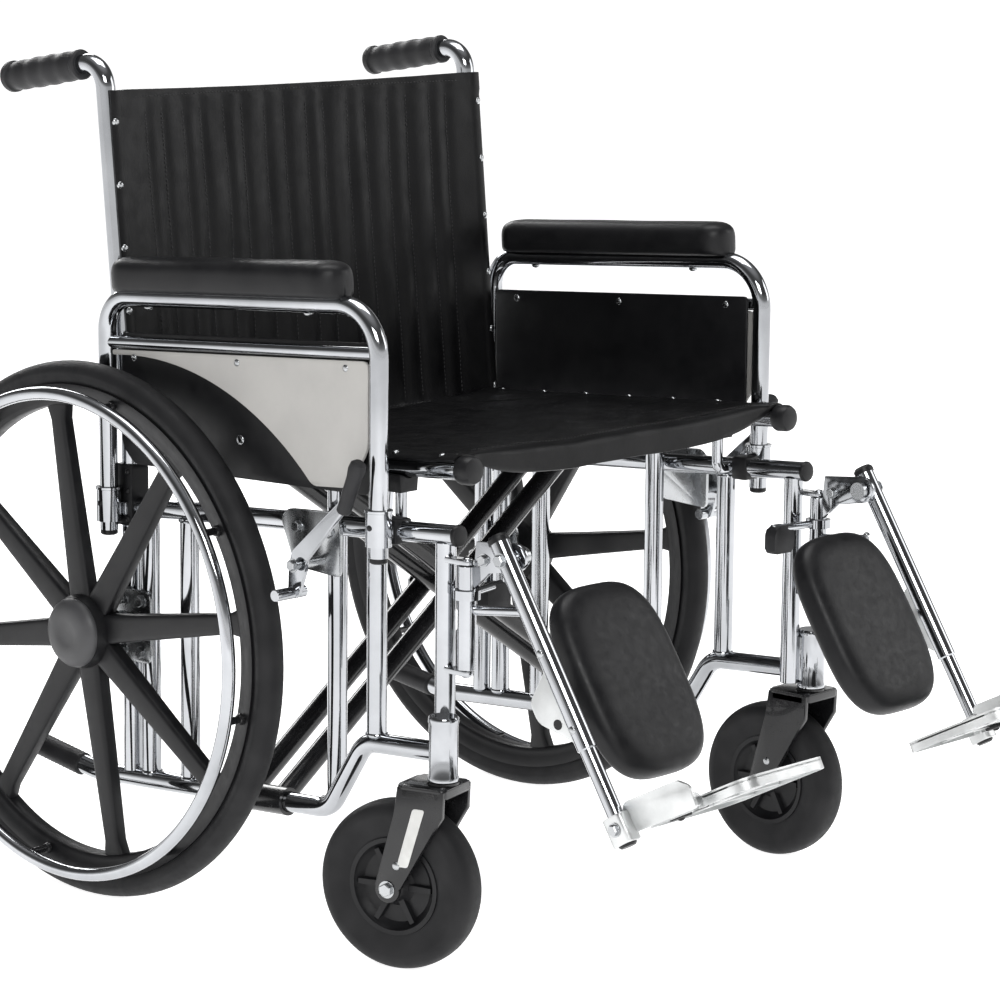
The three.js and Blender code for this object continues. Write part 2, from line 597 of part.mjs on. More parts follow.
function footBracket() {
  const wall = box([10, 16], [-100, -6], [-9, 24]);
  const lugs = FOOT.lugs.map((t) => join(box([0, 11], [-t - 4, -t + 4], [-6, 6]),
    rod(V(0, -t - 4, 0), V(0, -t + 4, 0), 7)));
  const pin = rod(V(0, -FOOT.lugs[1], 0), V(0, -FOOT.lugs[0], 0), FOOT.pin);
  return onFootHinge(join(wall, ...lugs, pin));
}

function calfPad() {
  const geometry = new THREE.ExtrudeGeometry(stadium(CALF.width, CALF.length, 70), {
    depth: CALF.thick, bevelEnabled: false, curveSegments: 5,
  });
  geometry.rotateX(Math.PI / 2).translate(CALF.x, CALF.back, -CALF.s);
  const block = box([CALF.x - 22, CALF.x + 22], [CALF.back - 2, CALF.pivot + 9], [-CALF.s - 10, -CALF.s + 10]);
  const bore = rod(leg(CALF.x - 60, -CALF.pivot, CALF.s), leg(CALF.x + 60, -CALF.pivot, CALF.s), CALF.pin + GAP);
  return swung(cut(join(geometry, block), bore));
}

function footplate() {
  const inner = FOOT.innerX - FOOT.hingeX;
  const shape = outline([[-2, FOOT.heel], [-2, FOOT.toe - 14], [-16, FOOT.toe], [inner + 12, FOOT.toe],
    [inner, FOOT.toe - 12], [inner, FOOT.heel + 14], [inner + 14, FOOT.heel]].map(([x, t]) => [x, -t]));
  const plate = new THREE.ExtrudeGeometry(shape, { depth: FOOT.top - FOOT.under, bevelEnabled: false });
  plate.translate(0, 0, FOOT.under);
  const knuckle = rod(V(0, -FOOT.lugs[1] + 6, 0), V(0, -FOOT.lugs[0] - 6, 0), 8);
  const bore = rod(V(0, -FOOT.toe - 20, 0), V(0, 20, 0), FOOT.pin + GAP);
  const clear = FOOT.lugs.map((t) => box([-8, 20], [-t - 4.5, -t + 4.5], [-20, 20]));
  return swung(onFootHinge(cut(join(plate, knuckle), bore, ...clear)));
}

function legrest(side) {
  return [
    part(`${side}_legrest_hanger`, hanger(), 'chrome'),
    part(`${side}_latch_lever`, latchLever(), 'steel'),
    part(`${side}_legrest_tube`, legTube(), 'chrome'),
    part(`${side}_calf_pad`, calfPad(), 'vinyl'),
    part(`${side}_footplate`, footplate(), 'aluminium'),
  ];
}

// ---- cross-brace and seat rails -----------------------------------------------------------
// Modelled in a frame tilted by the rake, so the fold axes run straight along Y.
const braceLow = LOWER_Z * Math.cos(RAKE);
const braceHigh = SEAT_Z * Math.cos(RAKE);
const braceMid = braceLow + (braceHigh - braceLow) * FRAME_X / (FRAME_X + SEAT_X);

// One brace runs from a lower rail on one side to the seat rail on the other. It is modelled
// from the right lower rail to the left seat rail, and mirrored for the other brace.
function brace(stations) {
  const low = (y) => V(-FRAME_X, y, braceLow);
  const high = (y) => V(SEAT_X, y, braceHigh);
  const diagonals = stations.map((y) => rod(low(y), high(y), BRACE_R));
  const sleeve = rod(low(stations[1] - 14), low(stations[0] + 14), TUBE + 4.5, 14);
  const seatRail = rod(high(SEAT_RAIL_Y[1]), high(SEAT_RAIL_Y[0]), TUBE);
  const railBore = rod(low(stations[1] - 60), low(stations[0] + 60), TUBE + 0.5, 14);
  const boltBore = rod(V(0, -400, braceMid), V(0, 0, braceMid), 4 + GAP);
  return cut(join(...diagonals, sleeve, seatRail), railBore, boltBore);
}

function braceBolt() {
  const front = BRACE_B_Y[1] - BRACE_R - GAP;
  const back = BRACE_A_Y[0] + BRACE_R + GAP;
  const profile = [[0, front - 6], [9, front - 6], [9, front], [4, front], [4, back], [8, back], [8, back + 7], [0, back + 7]];
  const points = profile.map(([r, y]) => new THREE.Vector2(r, y));
  return new THREE.LatheGeometry(points, 12).translate(0, 0, braceMid);
}

function crossBrace() {
  const group = new THREE.Group();
  group.rotation.x = -RAKE;
  const mirrored = new THREE.Group();
  mirrored.scale.x = -1;
  mirrored.add(part('brace_right', brace(BRACE_B_Y), 'blackPaint'));
  group.add(part('brace_left', brace(BRACE_A_Y), 'blackPaint'), mirrored, part('brace_bolt', braceBolt(), 'steel'));
  return group;
}

// ---- seat and back slings -----------------------------------------------------------------
// Cross-section of a sling: a sheet that hangs between two tubes and wraps over each of them.
// Its height direction points away from the side the sheet sags towards.
function slingSection(tubeX, sag, thick, from) {
  const inner = TUBE + 0.9;
  const wrap = [-25, 5, 35, 60, 75, 90, 115].filter((d) => d >= from).map((d) => d * Math.PI / 180);
  const around = (radius, side) => wrap.map((a) => [side * (tubeX + radius * Math.cos(a)), radius * Math.sin(a)]);
  const hang = (radius) => {
    const edge = [tubeX + radius * Math.cos(wrap.at(-1)), radius * Math.sin(wrap.at(-1))];
    const row = [0.75, 0.4, 0, -0.4, -0.75];
    return row.map((u) => [u * edge[0], edge[1] - sag * (1 - u * u)]);
  };
  const skin = (radius) => [...around(radius, 1), ...hang(radius), ...around(radius, -1).reverse()];
  return outline([...skin(inner + thick), ...skin(inner).reverse()]);
}

function seatSling() {
  const length = SEAT_CLOTH_Y[0] - SEAT_CLOTH_Y[1];
  const geometry = new THREE.ExtrudeGeometry(slingSection(SEAT_X, 14, 3.5, -25), { depth: length, bevelEnabled: false });
  geometry.rotateX(Math.PI / 2).translate(0, SEAT_CLOTH_Y[0], braceHigh);
  return geometry.rotateX(-RAKE);
}

// The back sling stands upright and follows the lean of the canes above LEAN_Z.
function backSling() {
  const depth = 408;
  const steps = 12;
  const geometry = new THREE.ExtrudeGeometry(slingSection(FRAME_X, 18, 3.5, 60), {
    depth, steps, bevelEnabled: false,
  });
  geometry.rotateZ(Math.PI).translate(0, CANE_Y, LEAN_Z - depth / steps);
  const lean = (HANDLE.y - CANE_Y) / (HANDLE.z - LEAN_Z);
  const place = geometry.attributes.position;
  for (let i = 0; i < place.count; i += 1) {
    place.setY(i, place.getY(i) + lean * Math.max(0, place.getZ(i) - LEAN_Z));
  }
  return geometry;
}

// ---- assembly -----------------------------------------------------------------------------
const wheelchair = new THREE.Group();
wheelchair.position.y = AXLE_Y;
for (const [side, sign] of [['left', 1], ['right', -1]]) {
  const half = new THREE.Group();
  half.scale.x = sign;
  half.add(...sideFrame(side), ...rearWheel(side), caster(side, sign), ...armrest(side), ...wheelLock(side),
    ...legrest(side));
  wheelchair.add(half);
}
wheelchair.add(crossBrace(), part('seat_sling', seatSling(), 'vinyl'), part('back_sling', backSling(), 'vinyl'));

export default wheelchair;
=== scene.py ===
from math import acos, atan2, copysign, cos, degrees, exp, hypot, pi, radians, sin, sqrt, tan

import bmesh
import bpy
from mathutils import Matrix, Quaternion, Vector, noise


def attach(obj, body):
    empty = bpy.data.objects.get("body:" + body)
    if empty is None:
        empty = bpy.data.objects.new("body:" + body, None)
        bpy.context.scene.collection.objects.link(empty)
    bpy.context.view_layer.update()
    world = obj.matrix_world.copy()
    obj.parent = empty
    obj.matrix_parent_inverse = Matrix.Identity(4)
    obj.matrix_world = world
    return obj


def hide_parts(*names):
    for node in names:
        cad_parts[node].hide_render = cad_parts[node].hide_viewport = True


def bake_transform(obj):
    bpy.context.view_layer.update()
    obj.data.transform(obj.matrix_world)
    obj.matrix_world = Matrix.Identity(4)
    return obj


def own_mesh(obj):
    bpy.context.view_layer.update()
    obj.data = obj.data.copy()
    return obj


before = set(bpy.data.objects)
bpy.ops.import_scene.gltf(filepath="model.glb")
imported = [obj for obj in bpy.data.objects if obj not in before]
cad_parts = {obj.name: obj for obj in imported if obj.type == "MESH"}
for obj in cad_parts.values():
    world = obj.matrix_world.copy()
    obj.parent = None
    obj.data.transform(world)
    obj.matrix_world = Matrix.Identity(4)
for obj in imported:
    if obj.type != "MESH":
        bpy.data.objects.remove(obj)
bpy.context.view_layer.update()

# ---- layout, in millimetres about the rear axle; the row frame is metres
AXLE_Y = 293.0
RAKE = radians(3.5)
TUBE = 11.1
FRAME_X, SEAT_X, ARM_X, LEG_X, WHEEL_X, HANDRIM_X = 296, 268, 322, 312, 362, 404
CANE_Y, AXLE_POST_Y, REAR_POST_Y, SEAT_POST_Y, MID_POST_Y, STEM_Y = 0, -31, -96, -301, -388, -488
LEAN_Z, HANDLE_Y, HANDLE_Z, GRIP_Y, GRIP_Z = 520, 40, 937, 192, 913
LOWER_Z, RAISED_Z, UPPER_Z, SEAT_Z, ARM_Z, CROSSBAR_Z = 122, 203, 437, 502, 678, 627
ARM_REAR_Y, ARM_FRONT_Y = 9, -415
TYRE_R, HANDRIM_R, HANDRIM_TUBE = 305, 272, 7.5
SPOKE_TURN, SPOKE_ROUND = radians(-10), 0.45
AXLE_Z = TYRE_R * cos(pi / 32)
CASTER_X, CASTER_Y, CASTER_R, CASTER_TRAIL = 316, -505, 92, 50
CASTER_Z = CASTER_R * cos(pi / 24)
CASTER_YAW = {"left": 0, "right": radians(14)}
HUB, WHEEL, STEM = (0, 0, AXLE_Z), (WHEEL_X, 0, AXLE_Z), (CASTER_X, CASTER_Y, 0)
HANGER_X, HANGER_Y = 300, -522
KNEE_Y, KNEE_Z = -588, 456
LEG_ANGLE = radians(32)
LEG_LENGTH = 318
CALF_X, CALF_S = 205, 150
FOOT_X, FOOT_S, FOOT_INNER, FOOT_HEEL, FOOT_TOE = 293, 300, 150, 10, 155
FOOT_TILT = radians(5)
LOCK_X, LOCK_Y, LOCK_Z = 349, -322, 420
RAIL_FRONT, RAIL_REAR, SEAT_FRONT, SEAT_REAR = -528, -57, -512, -62
BRACE_LOW = LOWER_Z * cos(RAKE)
BRACE_HIGH = SEAT_Z * cos(RAKE)
BRACE_MID = BRACE_LOW + (BRACE_HIGH - BRACE_LOW) * FRAME_X / (FRAME_X + SEAT_X)

I4 = Matrix.Identity(4)
TILT = Matrix.Rotation(-RAKE, 4, "X")
TILT_3 = Matrix.Rotation(-RAKE, 3, "X")
OUT, REAR, UP = (1, 0, 0), (0, 1, 0), (0, 0, 1)
GUARD_Y, GUARD_Z = -50, 236  # centre of the grey panel's curved edge
SEAT_FREE, BACK_FREE = 255, 282  # the cloth is held beyond this x
WRAP = 9  # points of a sling's section round each tube
SEAT_WRAP_R, BACK_WRAP_R = 13.6, 13.4
SEAT_THICK, BACK_THICK = 4.6, 5.0
HEM = 1.4
BACK_LOW, BACK_TOP = 500, 905


def raked(z, y):
    return z - y * tan(RAKE)


def metres(p, side=1):
    return Vector((side * p[0] / 1000, (p[1] + AXLE_Y) / 1000, p[2] / 1000))


# ---- materials
class Look:
    """A Principled material and the nodes that vary its colour, gloss and relief."""

    def __init__(self, name, color, roughness, metallic=0.0, specular=0.5, coat=0.0):
        self.mat = bpy.data.materials.new(name)
        self.mat.use_nodes = True
        self.tree = self.mat.node_tree
        self.inputs = self.tree.nodes["Principled BSDF"].inputs
        for key, value in (("Base Color", (*color, 1)), ("Roughness", roughness), ("Metallic", metallic),
                           ("Specular IOR Level", specular), ("Coat Weight", coat)):
            self.inputs[key].default_value = value

    def node(self, kind, source, socket, **values):
        """A new node with source linked to its socket."""
        node = self.tree.nodes.new("ShaderNode" + kind)
        for key, value in values.items():
            node.inputs[key.replace("_", " ")].default_value = value
        self.tree.links.new(source, node.inputs[socket])
        return node

    def feed(self, socket, source):
        self.tree.links.new(source, self.inputs[socket])

    def place(self):
        return self.tree.nodes.new("ShaderNodeTexCoord").outputs["Object"]

    def noise(self, scale, detail, rough=0.5):
        tex = self.node("TexNoise", self.place(), "Vector", Scale=scale, Detail=detail, Roughness=rough)
        return tex.outputs["Fac"]

    def spread(self, source, low, high, start=0.3, end=0.7):
        node = self.node("MapRange", source, "Value", From_Min=start, From_Max=end, To_Min=low, To_Max=high)
        return node.outputs["Result"]

    def tint(self, source, dark, light):
        node = self.node("ValToRGB", source, "Fac")
        for stop, where, color in zip(node.color_ramp.elements, (0.32, 0.7), (dark, light)):
            stop.position, stop.color = where, (*color, 1)
        return node.outputs["Color"]

    def bump(self, height, strength, distance, under=None):
        node = self.node("Bump", height, "Height", Strength=strength, Distance=distance)
        if under:
            self.tree.links.new(under, node.inputs["Normal"])
        self.feed("Normal", node.outputs["Normal"])
        return node.outputs["Normal"]


def surface(name, dark, light, rough, metallic=0.0, patch=18, grain=900, relief=0.15, depth=0.0004, **finish):
    """A finish with slow colour and gloss changes and a fine grain."""
    look = Look(name, light, rough[0], metallic, **finish)
    look.feed("Base Color", look.tint(look.noise(patch, 5, 0.6), dark, light))
    look.feed("Roughness", look.spread(look.noise(patch * 4, 6, 0.65), *rough))
    look.bump(look.noise(grain, 2, 0.55), relief, depth)
    return look.mat


def leather(name, dark, light, rough, scale):
    """Soft vinyl: a pebbled grain of small cells with creases between them."""
    look = Look(name, light, rough[0], specular=0.18)
    cells = look.node("TexVoronoi", look.place(), "Vector", Scale=scale)
    cells.feature = "DISTANCE_TO_EDGE"
    look.feed("Base Color", look.tint(look.noise(14, 6, 0.6), dark, light))
    look.feed("Roughness", look.spread(look.noise(45, 5, 0.6), *rough))
    grain = look.bump(look.spread(cells.outputs["Distance"], 0, 1, 0.0, 0.25), 0.22, 0.0003)
    look.bump(look.noise(60, 4, 0.6), 0.25, 0.0012, grain)
    return look.mat


MAT = {
    "chrome": surface("chrome", (0.36, 0.37, 0.385), (0.48, 0.49, 0.51), (0.04, 0.13), 1.0, 9, 400, 0.02,
                      0.0001),
    "steel": surface("zinc_steel", (0.34, 0.35, 0.36), (0.48, 0.49, 0.5), (0.18, 0.32), 1.0, 20, 900, 0.02,
                     0.0001),
    "aluminium": surface("cast_aluminium", (0.55, 0.56, 0.56), (0.72, 0.73, 0.73), (0.3, 0.46), 0.85, 30, 700,
                         0.06, 0.0002),
    "paint": surface("black_paint", (0.006, 0.006, 0.007), (0.014, 0.014, 0.015), (0.16, 0.3), 0.0, 30, 500,
                     0.04, 0.0003, specular=0.35, coat=0.25),
    "plastic": surface("black_plastic", (0.005, 0.005, 0.006), (0.011, 0.011, 0.012), (0.32, 0.5), 0.0, 25,
                       1500, 0.1, specular=0.28),
    "hub": surface("grey_plastic", (0.035, 0.035, 0.037), (0.055, 0.055, 0.058), (0.38, 0.55), 0.0, 25, 1500,
                   0.12),
    "panel": surface("grey_panel", (0.4, 0.39, 0.375), (0.46, 0.45, 0.43), (0.34, 0.5), 0.0, 12, 1200, 0.08),
    "tyre": surface("tyre_rubber", (0.007, 0.007, 0.008), (0.017, 0.017, 0.018), (0.5, 0.72), 0.0, 30, 800,
                    0.25, specular=0.25),
    "grip": surface("grip_rubber", (0.012, 0.012, 0.013), (0.026, 0.026, 0.028), (0.42, 0.6), 0.0, 40, 1100,
                    0.25, specular=0.25),
    "foam": surface("pad_skin", (0.006, 0.006, 0.007), (0.013, 0.013, 0.014), (0.32, 0.5), 0.0, 26, 1300,
                    0.25, 0.0003, specular=0.25),
    "vinyl": leather("black_vinyl", (0.003, 0.003, 0.0035), (0.008, 0.008, 0.0085), (0.28, 0.5), 620),
    "thread": surface("black_thread", (0.015, 0.015, 0.016), (0.035, 0.035, 0.037), (0.6, 0.8), 0.0, 90, 2500,
                      0.4),
    "label": surface("blank_label", (0.6, 0.6, 0.58), (0.7, 0.7, 0.68), (0.35, 0.5), 0.0, 60, 900, 0.05),
}
# the CAD slot of each material, unless a piece says otherwise
SLOT = {"chrome": "chrome_plate", "steel": "zinc_steel", "aluminium": "bare_aluminium", "panel": "grey_panel",
        "paint": "black_paint", "label": "black_paint", "plastic": "black_plastic", "hub": "black_plastic",
        "tyre": "black_rubber", "grip": "black_rubber", "foam": "pad_foam", "vinyl": "black_vinyl",
        "thread": "black_vinyl"}


# ---- mesh building
class Piece:
    """One mesh piece, built from solids given in millimetres about the rear axle."""

    def __init__(self, name, sign=1, place=I4, prefix=""):
        self.name, self.sign, self.place, self.prefix = prefix + name, sign, place, prefix
        self.bm = bmesh.new()

    def vert(self, p):
        return self.bm.verts.new(metres(self.place @ Vector(p), self.sign))

    def face(self, verts):
        try:
            return self.bm.faces.new(verts)
        except ValueError:
            return None

    def skin(self, rings, closed=False, caps=True):
        """Faces between successive rings of points. closed joins the last ring to the first."""
        loops = [[self.vert(p) for p in ring] for ring in rings]
        count = len(loops)
        for i in range(count if closed else count - 1):
            a, b = loops[i], loops[(i + 1) % count]
            for k in range(len(a)):
                n = (k + 1) % len(a)
                self.face((a[k], a[n], b[n], b[k]))
        if caps and not closed:
            self.face(loops[0][::-1])
            self.face(loops[-1])
        return self

    def tube(self, corners, radius, bend=30, sides=28, round_end=0.0):
        points, tangents = route(corners, bend)
        up = perpendicular(tangents[0])
        rings = []
        for i, (p, t) in enumerate(zip(points, tangents)):
            if i:
                up = tangents[i - 1].rotation_difference(t) @ up
            rings.append(circle(p, t, up, radius, sides))
        if round_end:
            first, last = tangents[0], tangents[-1]
            start_up = perpendicular(first)
            rings.insert(0, circle(points[0] - first * round_end, first, start_up, radius - round_end, sides))
            rings.append(circle(points[-1] + last * round_end, last, up, radius - round_end, sides))
        return self.skin(rings)

    def rod(self, a, b, radius, sides=28, chamfer=0.6):
        return self.tube([a, b], radius, sides=sides, round_end=min(chamfer, radius * 0.4))

    def lathe(self, origin, axis, profile, sides=48):
        """profile: (radius, distance along axis). It is a closed ring, or starts and ends on the axis."""
        axis = Vector(axis).normalized()
        up = perpendicular(axis)
        origin = Vector(origin)
        ring = profile[:-1] if profile[0] == profile[-1] and profile[0][0] > 1e-6 else profile
        closed = ring is not profile
        if closed:
            rings = [circle(origin + axis * h, axis, up, r, sides) for r, h in ring]
            return self.skin(rings, closed=True, caps=False)
        rings = [circle(origin + axis * h, axis, up, r, sides) for r, h in ring if r > 1e-6]
        return self.skin(rings)

    def round_off(self, edges, bevel):
        """Bevels the edges, each of them once."""
        bmesh.ops.bevel(self.bm, geom=list(dict.fromkeys(edges)), offset=bevel / 1000, segments=2,
                        profile=0.5, affect="EDGES", clamp_overlap=True)

    def prism(self, points, axis, low, high, bevel=0.0):
        """A flat outline pushed along x, y or z, with its rim edges rounded."""
        def spot(p, h):
            return {"x": (h, p[0], p[1]), "y": (p[0], h, p[1]), "z": (p[0], p[1], h)}[axis]
        a = [self.vert(spot(p, low)) for p in points]
        b = [self.vert(spot(p, high)) for p in points]
        faces = [self.face(a[::-1]), self.face(b)]
        n = len(points)
        faces += [self.face((a[i], a[(i + 1) % n], b[(i + 1) % n], b[i])) for i in range(n)]
        if bevel:
            rim = [e for f in faces[:2] for e in f.edges]
            self.round_off(rim, bevel)
        return self

    def block(self, x, y, z, bevel=1.2):
        corners = [(i, j, k) for i in x for j in y for k in z]
        v = [self.vert(c) for c in corners]
        quads = ((0, 1, 3, 2), (4, 6, 7, 5), (0, 4, 5, 1), (2, 3, 7, 6), (0, 2, 6, 4), (1, 5, 7, 3))
        faces = [self.face([v[i] for i in q]) for q in quads]
        if bevel:
            self.round_off([e for f in faces for e in f.edges], bevel)
        return self

    def disc(self, p, axis, radius, low, high, sides=24):
        return self.lathe(p, axis, [(0, low), (radius, low), (radius, high), (0, high)], sides)

    def sleeve(self, p, axis, inner, outer, low, high, sides=36):
        ring = [(inner, low), (outer, low), (outer, high), (inner, high), (inner, low)]
        return self.lathe(p, axis, ring, sides)

    def bolt(self, p, axis, size=6, height=4, washer=1.0):
        """A hexagon head on a washer."""
        axis, p = Vector(axis).normalized(), Vector(p)
        self.disc(p, axis, size * 1.25, 0, washer)
        return self.skin([circle(p + axis * washer + axis * h, axis, perpendicular(axis), r, 6) for h, r in
                          ((0, size), (height * 0.8, size), (height, size * 0.86))])

    def dome(self, p, axis, radius=5, height=2.6, sides=20):
        """A rivet or pan head."""
        steps = [(radius * cos(a), height * sin(a)) for a in (0, 0.35, 0.7, 1.05, 1.35)]
        return self.lathe(p, axis, [(0, -0.5), (radius, -0.5)] + steps + [(0, height)], sides)

    def finish(self, body, material, *replaced, slot=None, sharp=38):
        """body and the replaced CAD nodes are named without the side that they are on."""
        bmesh.ops.remove_doubles(self.bm, verts=self.bm.verts, dist=1e-7)
        obj = mesh_object(self.name, self.bm, material, sharp)
        return settle(obj, self.prefix + body, slot or SLOT[material], *(self.prefix + r for r in replaced))


class Side:
    """The left or right half. The right one is the left one mirrored."""

    def __init__(self, name, sign):
        self.name, self.sign = name, sign

    def piece(self, label, place=I4):
        return Piece(label, self.sign, place, self.name + "_")


SIDES = [Side("left", 1), Side("right", -1)]


def link_new(name, data):
    obj = bpy.data.objects.new(name, data)
    bpy.context.scene.collection.objects.link(obj)
    return obj


def mesh_object(name, bm, material, sharp=None):
    """A smooth-shaded object from bm, with edges above the sharp angle left hard."""
    bmesh.ops.recalc_face_normals(bm, faces=bm.faces)
    for f in bm.faces:
        f.smooth = True
    for e in bm.edges if sharp else ():
        if len(e.link_faces) == 2 and e.calc_face_angle(0) > radians(sharp):
            e.smooth = False
    mesh = bpy.data.meshes.new(name)
    bm.to_mesh(mesh)
    bm.free()
    mesh.materials.append(MAT[material])
    return link_new(name, mesh)


def settle(obj, body, slot, *replaced):
    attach(obj, body)
    if replaced:
        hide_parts(*replaced)
    return obj


def perpendicular(axis):
    axis = Vector(axis)
    guess = Vector(UP) if abs(axis.normalized().z) < 0.9 else Vector(REAR)
    return (guess - axis * (guess.dot(axis) / axis.length_squared)).normalized()


def turns(count):
    """count equal steps round a circle."""
    return [2 * pi * i / count for i in range(count)]


def bulge(value, power):
    """value to a power, with its sign kept. Powers under 1 square a circle off."""
    return copysign(abs(value) ** power, value)


def circle(centre, axis, up, radius, sides):
    across = axis.cross(up).normalized()
    return [centre + up * (radius * cos(a)) + across * (radius * sin(a)) for a in turns(sides)]


def route(corners, bend, step=radians(6)):
    """Centre line through corners, each rounded. bend is one radius, or one for each inner corner."""
    corners = [Vector(c) for c in corners]
    bends = bend if isinstance(bend, (list, tuple)) else [bend] * (len(corners) - 2)
    first = (corners[1] - corners[0]).normalized()
    points, tangents = [corners[0]], [first]
    for i in range(1, len(corners) - 1):
        a = (corners[i] - corners[i - 1]).normalized()
        b = (corners[i + 1] - corners[i]).normalized()
        turn = a.angle(b)
        axis = a.cross(b).normalized()
        start = corners[i] - a * bends[i - 1] * tan(turn / 2)
        centre = start + axis.cross(a) * bends[i - 1]
        steps = max(2, round(turn / step))
        for k in range(steps + 1):
            q = Quaternion(axis, turn * k / steps)
            points.append(centre + q @ (start - centre))
            tangents.append(q @ a)
    points.append(corners[-1])
    tangents.append((corners[-1] - corners[-2]).normalized())
    return points, tangents


def arc(cx, cy, r, start, end, steps):
    """Points on a circle, angles in degrees."""
    return [(cx + r * cos(radians(start + (end - start) * i / steps)),
             cy + r * sin(radians(start + (end - start) * i / steps))) for i in range(steps + 1)]


def leg_place():
    """The legrest's own frame: hanging straight down from the knee, s down (-z) and forward -y."""
    return Matrix.Translation((0, KNEE_Y, KNEE_Z)) @ Matrix.Rotation(-LEG_ANGLE, 4, "X")


def foot_place():
    hinge = Matrix.Translation((FOOT_X, 0, -FOOT_S)) @ Matrix.Rotation(FOOT_TILT, 4, "X")
    return leg_place() @ hinge


# ---- side frame
def cane_y(z):
    lean = (HANDLE_Y - CANE_Y) / (HANDLE_Z - LEAN_Z)
    return CANE_Y + lean * max(0, z - LEAN_Z)


def frame_tubes(side):
    cane = [(FRAME_X, CANE_Y, raked(LOWER_Z, CANE_Y) + 9), (FRAME_X, CANE_Y, LEAN_Z),
            (FRAME_X, HANDLE_Y, HANDLE_Z), (FRAME_X, GRIP_Y, GRIP_Z)]
    side.piece("cane_tube").tube(cane, TUBE, [160, 28]).finish("frame", "chrome", "back_cane")

    p = side.piece("rail_tube")
    p.rod((FRAME_X, CANE_Y - 8, raked(UPPER_Z, CANE_Y - 8)), (FRAME_X, -505, raked(UPPER_Z, -505)), TUBE)
    p.finish("frame", "chrome", "upper_rail")

    p = side.piece("front_post_tube")
    top = raked(UPPER_Z, STEM_Y)
    p.lathe(STEM, UP,
            [(0, 208.5), (14.5, 208.5), (16.5, 210), (16.5, 214), (15.6, 215.5), (15.6, 271), (16.5, 272.5),
             (16.5, 277), (15, 279), (0, 280)], 40)
    p.rod((FRAME_X, STEM_Y, 216), (FRAME_X, STEM_Y, top - 8), TUBE)
    p.block((FRAME_X + 3, CASTER_X - 3), (CASTER_Y + 2, STEM_Y - 1), (218, 272), 2)
    p.finish("frame", "chrome", "front_post")
    p = side.piece("stem_bearings")
    p.sleeve(STEM, UP, 9, 17.4, 206.4, 209, 40)
    p.finish("frame", "paint")

    for label, y, low in (("mid", MID_POST_Y, RAISED_Z), ("rear", REAR_POST_Y, LOWER_Z),
                          ("axle", AXLE_POST_Y, LOWER_Z)):
        p = side.piece(f"{label}_post_tube")
        p.rod((FRAME_X, y, raked(low, y) + 8), (FRAME_X, y, raked(UPPER_Z, y) - 8), TUBE)
        weld_rings(p, y, raked(low, y) + TUBE - 0.6, raked(UPPER_Z, y) - TUBE + 0.6)
        p.finish("frame", "chrome", *([] if label == "axle" else [label + "_post"]))

    foot = raked(LOWER_Z, SEAT_POST_Y)
    p = side.piece("seat_post_tube")
    p.tube([(FRAME_X - 9, SEAT_POST_Y, foot), (SEAT_X, SEAT_POST_Y, foot),
            (SEAT_X, SEAT_POST_Y, raked(SEAT_Z, SEAT_POST_Y) - 27)], TUBE, 15)
    p.finish("frame", "chrome", "seat_post")

    p = side.piece("lower_rail_tube")
    p.tube([(FRAME_X, 150, 131.5), (FRAME_X, 60, raked(LOWER_Z, 60)), (FRAME_X, -318, raked(LOWER_Z, -318)),
            (FRAME_X, -372, raked(RAISED_Z, -372)), (FRAME_X, STEM_Y + 6, raked(RAISED_Z, STEM_Y + 6))],
           TUBE, [60, 34, 34])
    p.finish("frame", "chrome", "lower_rail")


def weld_rings(p, y, low, high):
    """The slightly raised weld bead where a post meets a rail."""
    for z in (low, high):
        p.skin([circle(Vector((FRAME_X + TUBE * cos(a), y + TUBE * sin(a), z)), Vector((-sin(a), cos(a), 0)),
                       Vector(UP), 1.5, 8) for a in turns(28)], closed=True, caps=False)


